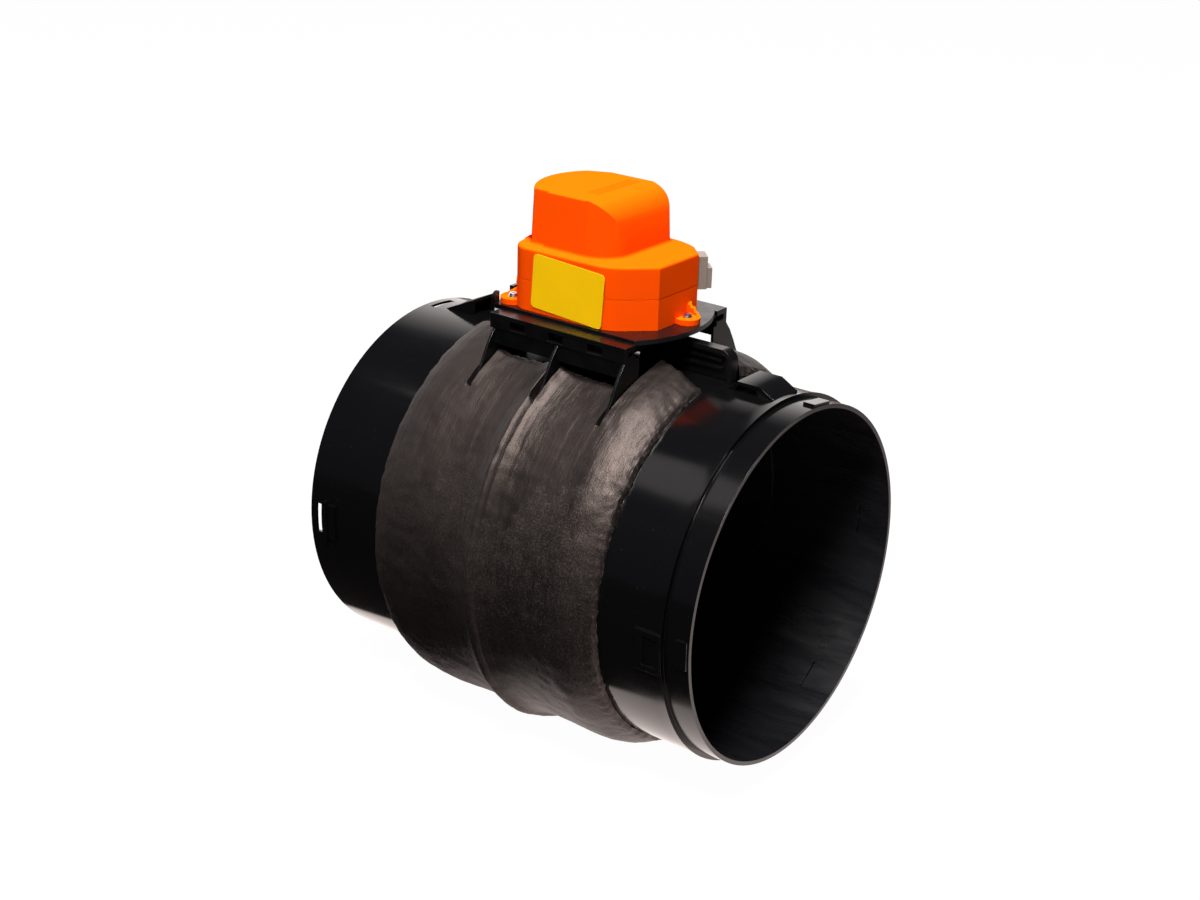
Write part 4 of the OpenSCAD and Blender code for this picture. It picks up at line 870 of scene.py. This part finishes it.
def build_floor(values):
    """Paper that looks plain white; what it throws up at the damper ends a little in front of it."""
    deselect()
    bpy.ops.mesh.primitive_plane_add(size=9, location=(SHAFT_X, 0, CAD_BOX[0][2] - 0.5 * MM))
    floor = bpy.context.object
    floor.name = "floor"
    s = Shade("floor_paper", colour=(0.035, 0.035, 0.035), roughness=0.9)
    s.set("Specular IOR Level", 0.0)
    s.rough(s.span(s.noise(8, 3, 0.5), 0.3, 0.7, 0.85, 0.95))
    past_edge = s.add("VectorMath", operation="DOT_PRODUCT")
    past_edge.inputs[1].default_value = (0.26, 0.965, 0)
    s.link(s.where, past_edge.inputs[0])
    away = s.add("VectorMath", operation="LENGTH")
    s.link(s.where, away.inputs[0])
    paper = s.span(past_edge.outputs["Value"], -96 * MM, -91 * MM, values.floor_front, 1)
    glow = s.maths("MULTIPLY", paper, s.span(away.outputs["Value"], 0.15, 0.8, values.floor_glow, 0.25))
    seen = s.add("LightPath").outputs["Is Camera Ray"]
    strength = s.mix(seen, (0, 0, 0), (values.floor_white,) * 3)
    s.link(glow, strength.node.inputs[6])
    s.link(strength, s.shader.inputs["Emission Strength"])
    s.set("Emission Color", (1, 0.87, 0.83, 1))
    s.link(s.mix(seen, (1, 0.87, 0.83), (1, 1, 1)), s.shader.inputs["Emission Color"])
    s.colour(s.mix(seen, (0, 0, 0), (0.035, 0.035, 0.035)))
    floor.data.materials.append(s.material)


def build_world(values):
    """White to the camera; for the rest a pale wall behind on the left in a dim blue room."""
    world = bpy.data.worlds.new("studio")
    world.use_nodes = True
    bpy.context.scene.world = world
    tree = world.node_tree
    new, link = tree.nodes.new, tree.links.new
    soft = tree.nodes["Background"]
    place = new("ShaderNodeTexCoord")
    towards = new("ShaderNodeVectorMath")
    towards.operation = "DOT_PRODUCT"
    towards.inputs[1].default_value = (-0.836, 0.466, -0.291)
    link(place.outputs["Generated"], towards.inputs[0])
    wall = new("ShaderNodeMapRange")
    for socket, value in (("From Min", 0.49), ("From Max", 0.72), ("To Min", 0), ("To Max", 1)):
        wall.inputs[socket].default_value = value
    link(towards.outputs["Value"], wall.inputs["Value"])
    tone = new("ShaderNodeMix")
    tone.data_type = "RGBA"
    # Blurred light sees less of the wall than the shiny skins mirror
    path = new("ShaderNodeLightPath")
    dull = new("ShaderNodeMapRange")
    for socket, value in (("From Min", 0), ("From Max", 1), ("To Min", 1), ("To Max", 0.25)):
        dull.inputs[socket].default_value = value
    link(path.outputs["Is Diffuse Ray"], dull.inputs["Value"])
    share = new("ShaderNodeMath")
    share.operation = "MULTIPLY"
    link(wall.outputs["Result"], share.inputs[0])
    link(dull.outputs["Result"], share.inputs[1])
    link(share.outputs["Value"], tone.inputs["Factor"])
    tone.inputs[6].default_value = (0.04, 0.045, 0.06, 1)
    tone.inputs[7].default_value = (values.back_glow, 0.93 * values.back_glow, 0.9 * values.back_glow, 1)
    link(tone.outputs[2], soft.inputs["Color"])
    white = new("ShaderNodeBackground")
    mix = new("ShaderNodeMixShader")
    link(path.outputs["Is Camera Ray"], mix.inputs["Fac"])
    link(soft.outputs["Background"], mix.inputs[1])
    link(white.outputs["Background"], mix.inputs[2])
    white.inputs["Color"].default_value = (1, 1, 1, 1)
    link(mix.outputs["Shader"], tree.nodes["World Output"].inputs["Surface"])


def build_camera(values):
    """The photo's camera, turned about the shaft."""
    az, el, roll = values.azimuth, values.elevation, values.roll
    back = Vector((math.sin(az) * math.cos(el), -math.cos(az) * math.cos(el), math.sin(el)))
    right = Vector((math.cos(az), math.sin(az), 0))
    up = back.cross(right)
    cam_x = right * math.cos(roll) + up * math.sin(roll)
    cam_y = up * math.cos(roll) - right * math.sin(roll)
    eye = back * values.distance - cam_x * 1.28 * MM + cam_y * 39.29 * MM + Vector((SHAFT_X, 0, 0))
    data = bpy.data.cameras.new("camera")
    data.lens = values.lens
    data.sensor_width = 36
    data.clip_start, data.clip_end = 0.01, 50
    camera = bpy.data.objects.new("camera", data)
    bpy.context.scene.collection.objects.link(camera)
    camera.matrix_world = Matrix((
        (cam_x.x, cam_y.x, back.x, eye.x), (cam_x.y, cam_y.y, back.y, eye.y),
        (cam_x.z, cam_y.z, back.z, eye.z), (0, 0, 0, 1)))
    bpy.context.scene.camera = camera


class DAMPER_OT_stage(bpy.types.Operator):
    """Set the floor, the lights and the camera"""

    bl_idname = "damper.stage"
    bl_label = "Stage"

    def execute(self, context):
        values = context.scene.damper_stage
        build_floor(values)
        build_world(values)
        build_camera(values)
        area_light("key", (0.12, -0.16, 0.98), 1.6, (0.45, 0.45), values.key, (1, 0.985, 0.96))
        area_light("front", (0.25, -0.57, 0.78), 1.7, (0.32, 0.32), values.side_key, (1, 0.97, 0.94))
        area_light("brow", (-0.48, -0.36, 0.8), 1.6, (0.5, 0.5), values.brow, (1, 0.93, 0.9))
        context.scene.view_settings.view_transform = "Standard"
        context.scene.view_settings.look = "None"
        return {"FINISHED"}


class DAMPER_PT_panel(bpy.types.Panel):
    """Lists the damper's steps and values"""

    bl_label = "Duct damper"
    bl_idname = "DAMPER_PT_panel"
    bl_space_type = "VIEW_3D"
    bl_region_type = "UI"
    bl_category = "Damper"

    def draw(self, context):
        scene, column = context.scene, self.layout.column()
        for step in STEPS:
            column.operator(step.bl_idname)
        for group in (scene.damper_finish, scene.damper_foam, scene.damper_stage):
            for name in group.bl_rna.properties.keys():
                if name not in ("rna_type", "name"):
                    column.prop(group, name)


STEPS = (DAMPER_OT_finishes, DAMPER_OT_barrel, DAMPER_OT_mount, DAMPER_OT_case, DAMPER_OT_foam,
         DAMPER_OT_stage)
CLASSES = (DamperFinish, DamperFoam, DamperStage, *STEPS, DAMPER_PT_panel)


def register():
    for c in CLASSES:
        bpy.utils.register_class(c)
    bpy.types.Scene.damper_finish = PointerProperty(type=DamperFinish)
    bpy.types.Scene.damper_foam = PointerProperty(type=DamperFoam)
    bpy.types.Scene.damper_stage = PointerProperty(type=DamperStage)


def unregister():
    del bpy.types.Scene.damper_stage
    del bpy.types.Scene.damper_foam
    del bpy.types.Scene.damper_finish
    for c in reversed(CLASSES):
        bpy.utils.unregister_class(c)


def main():
    register()
    for step in STEPS:
        group, name = step.bl_idname.split(".")
        getattr(getattr(bpy.ops, group), name)()


if __name__ == "__main__":
    main()
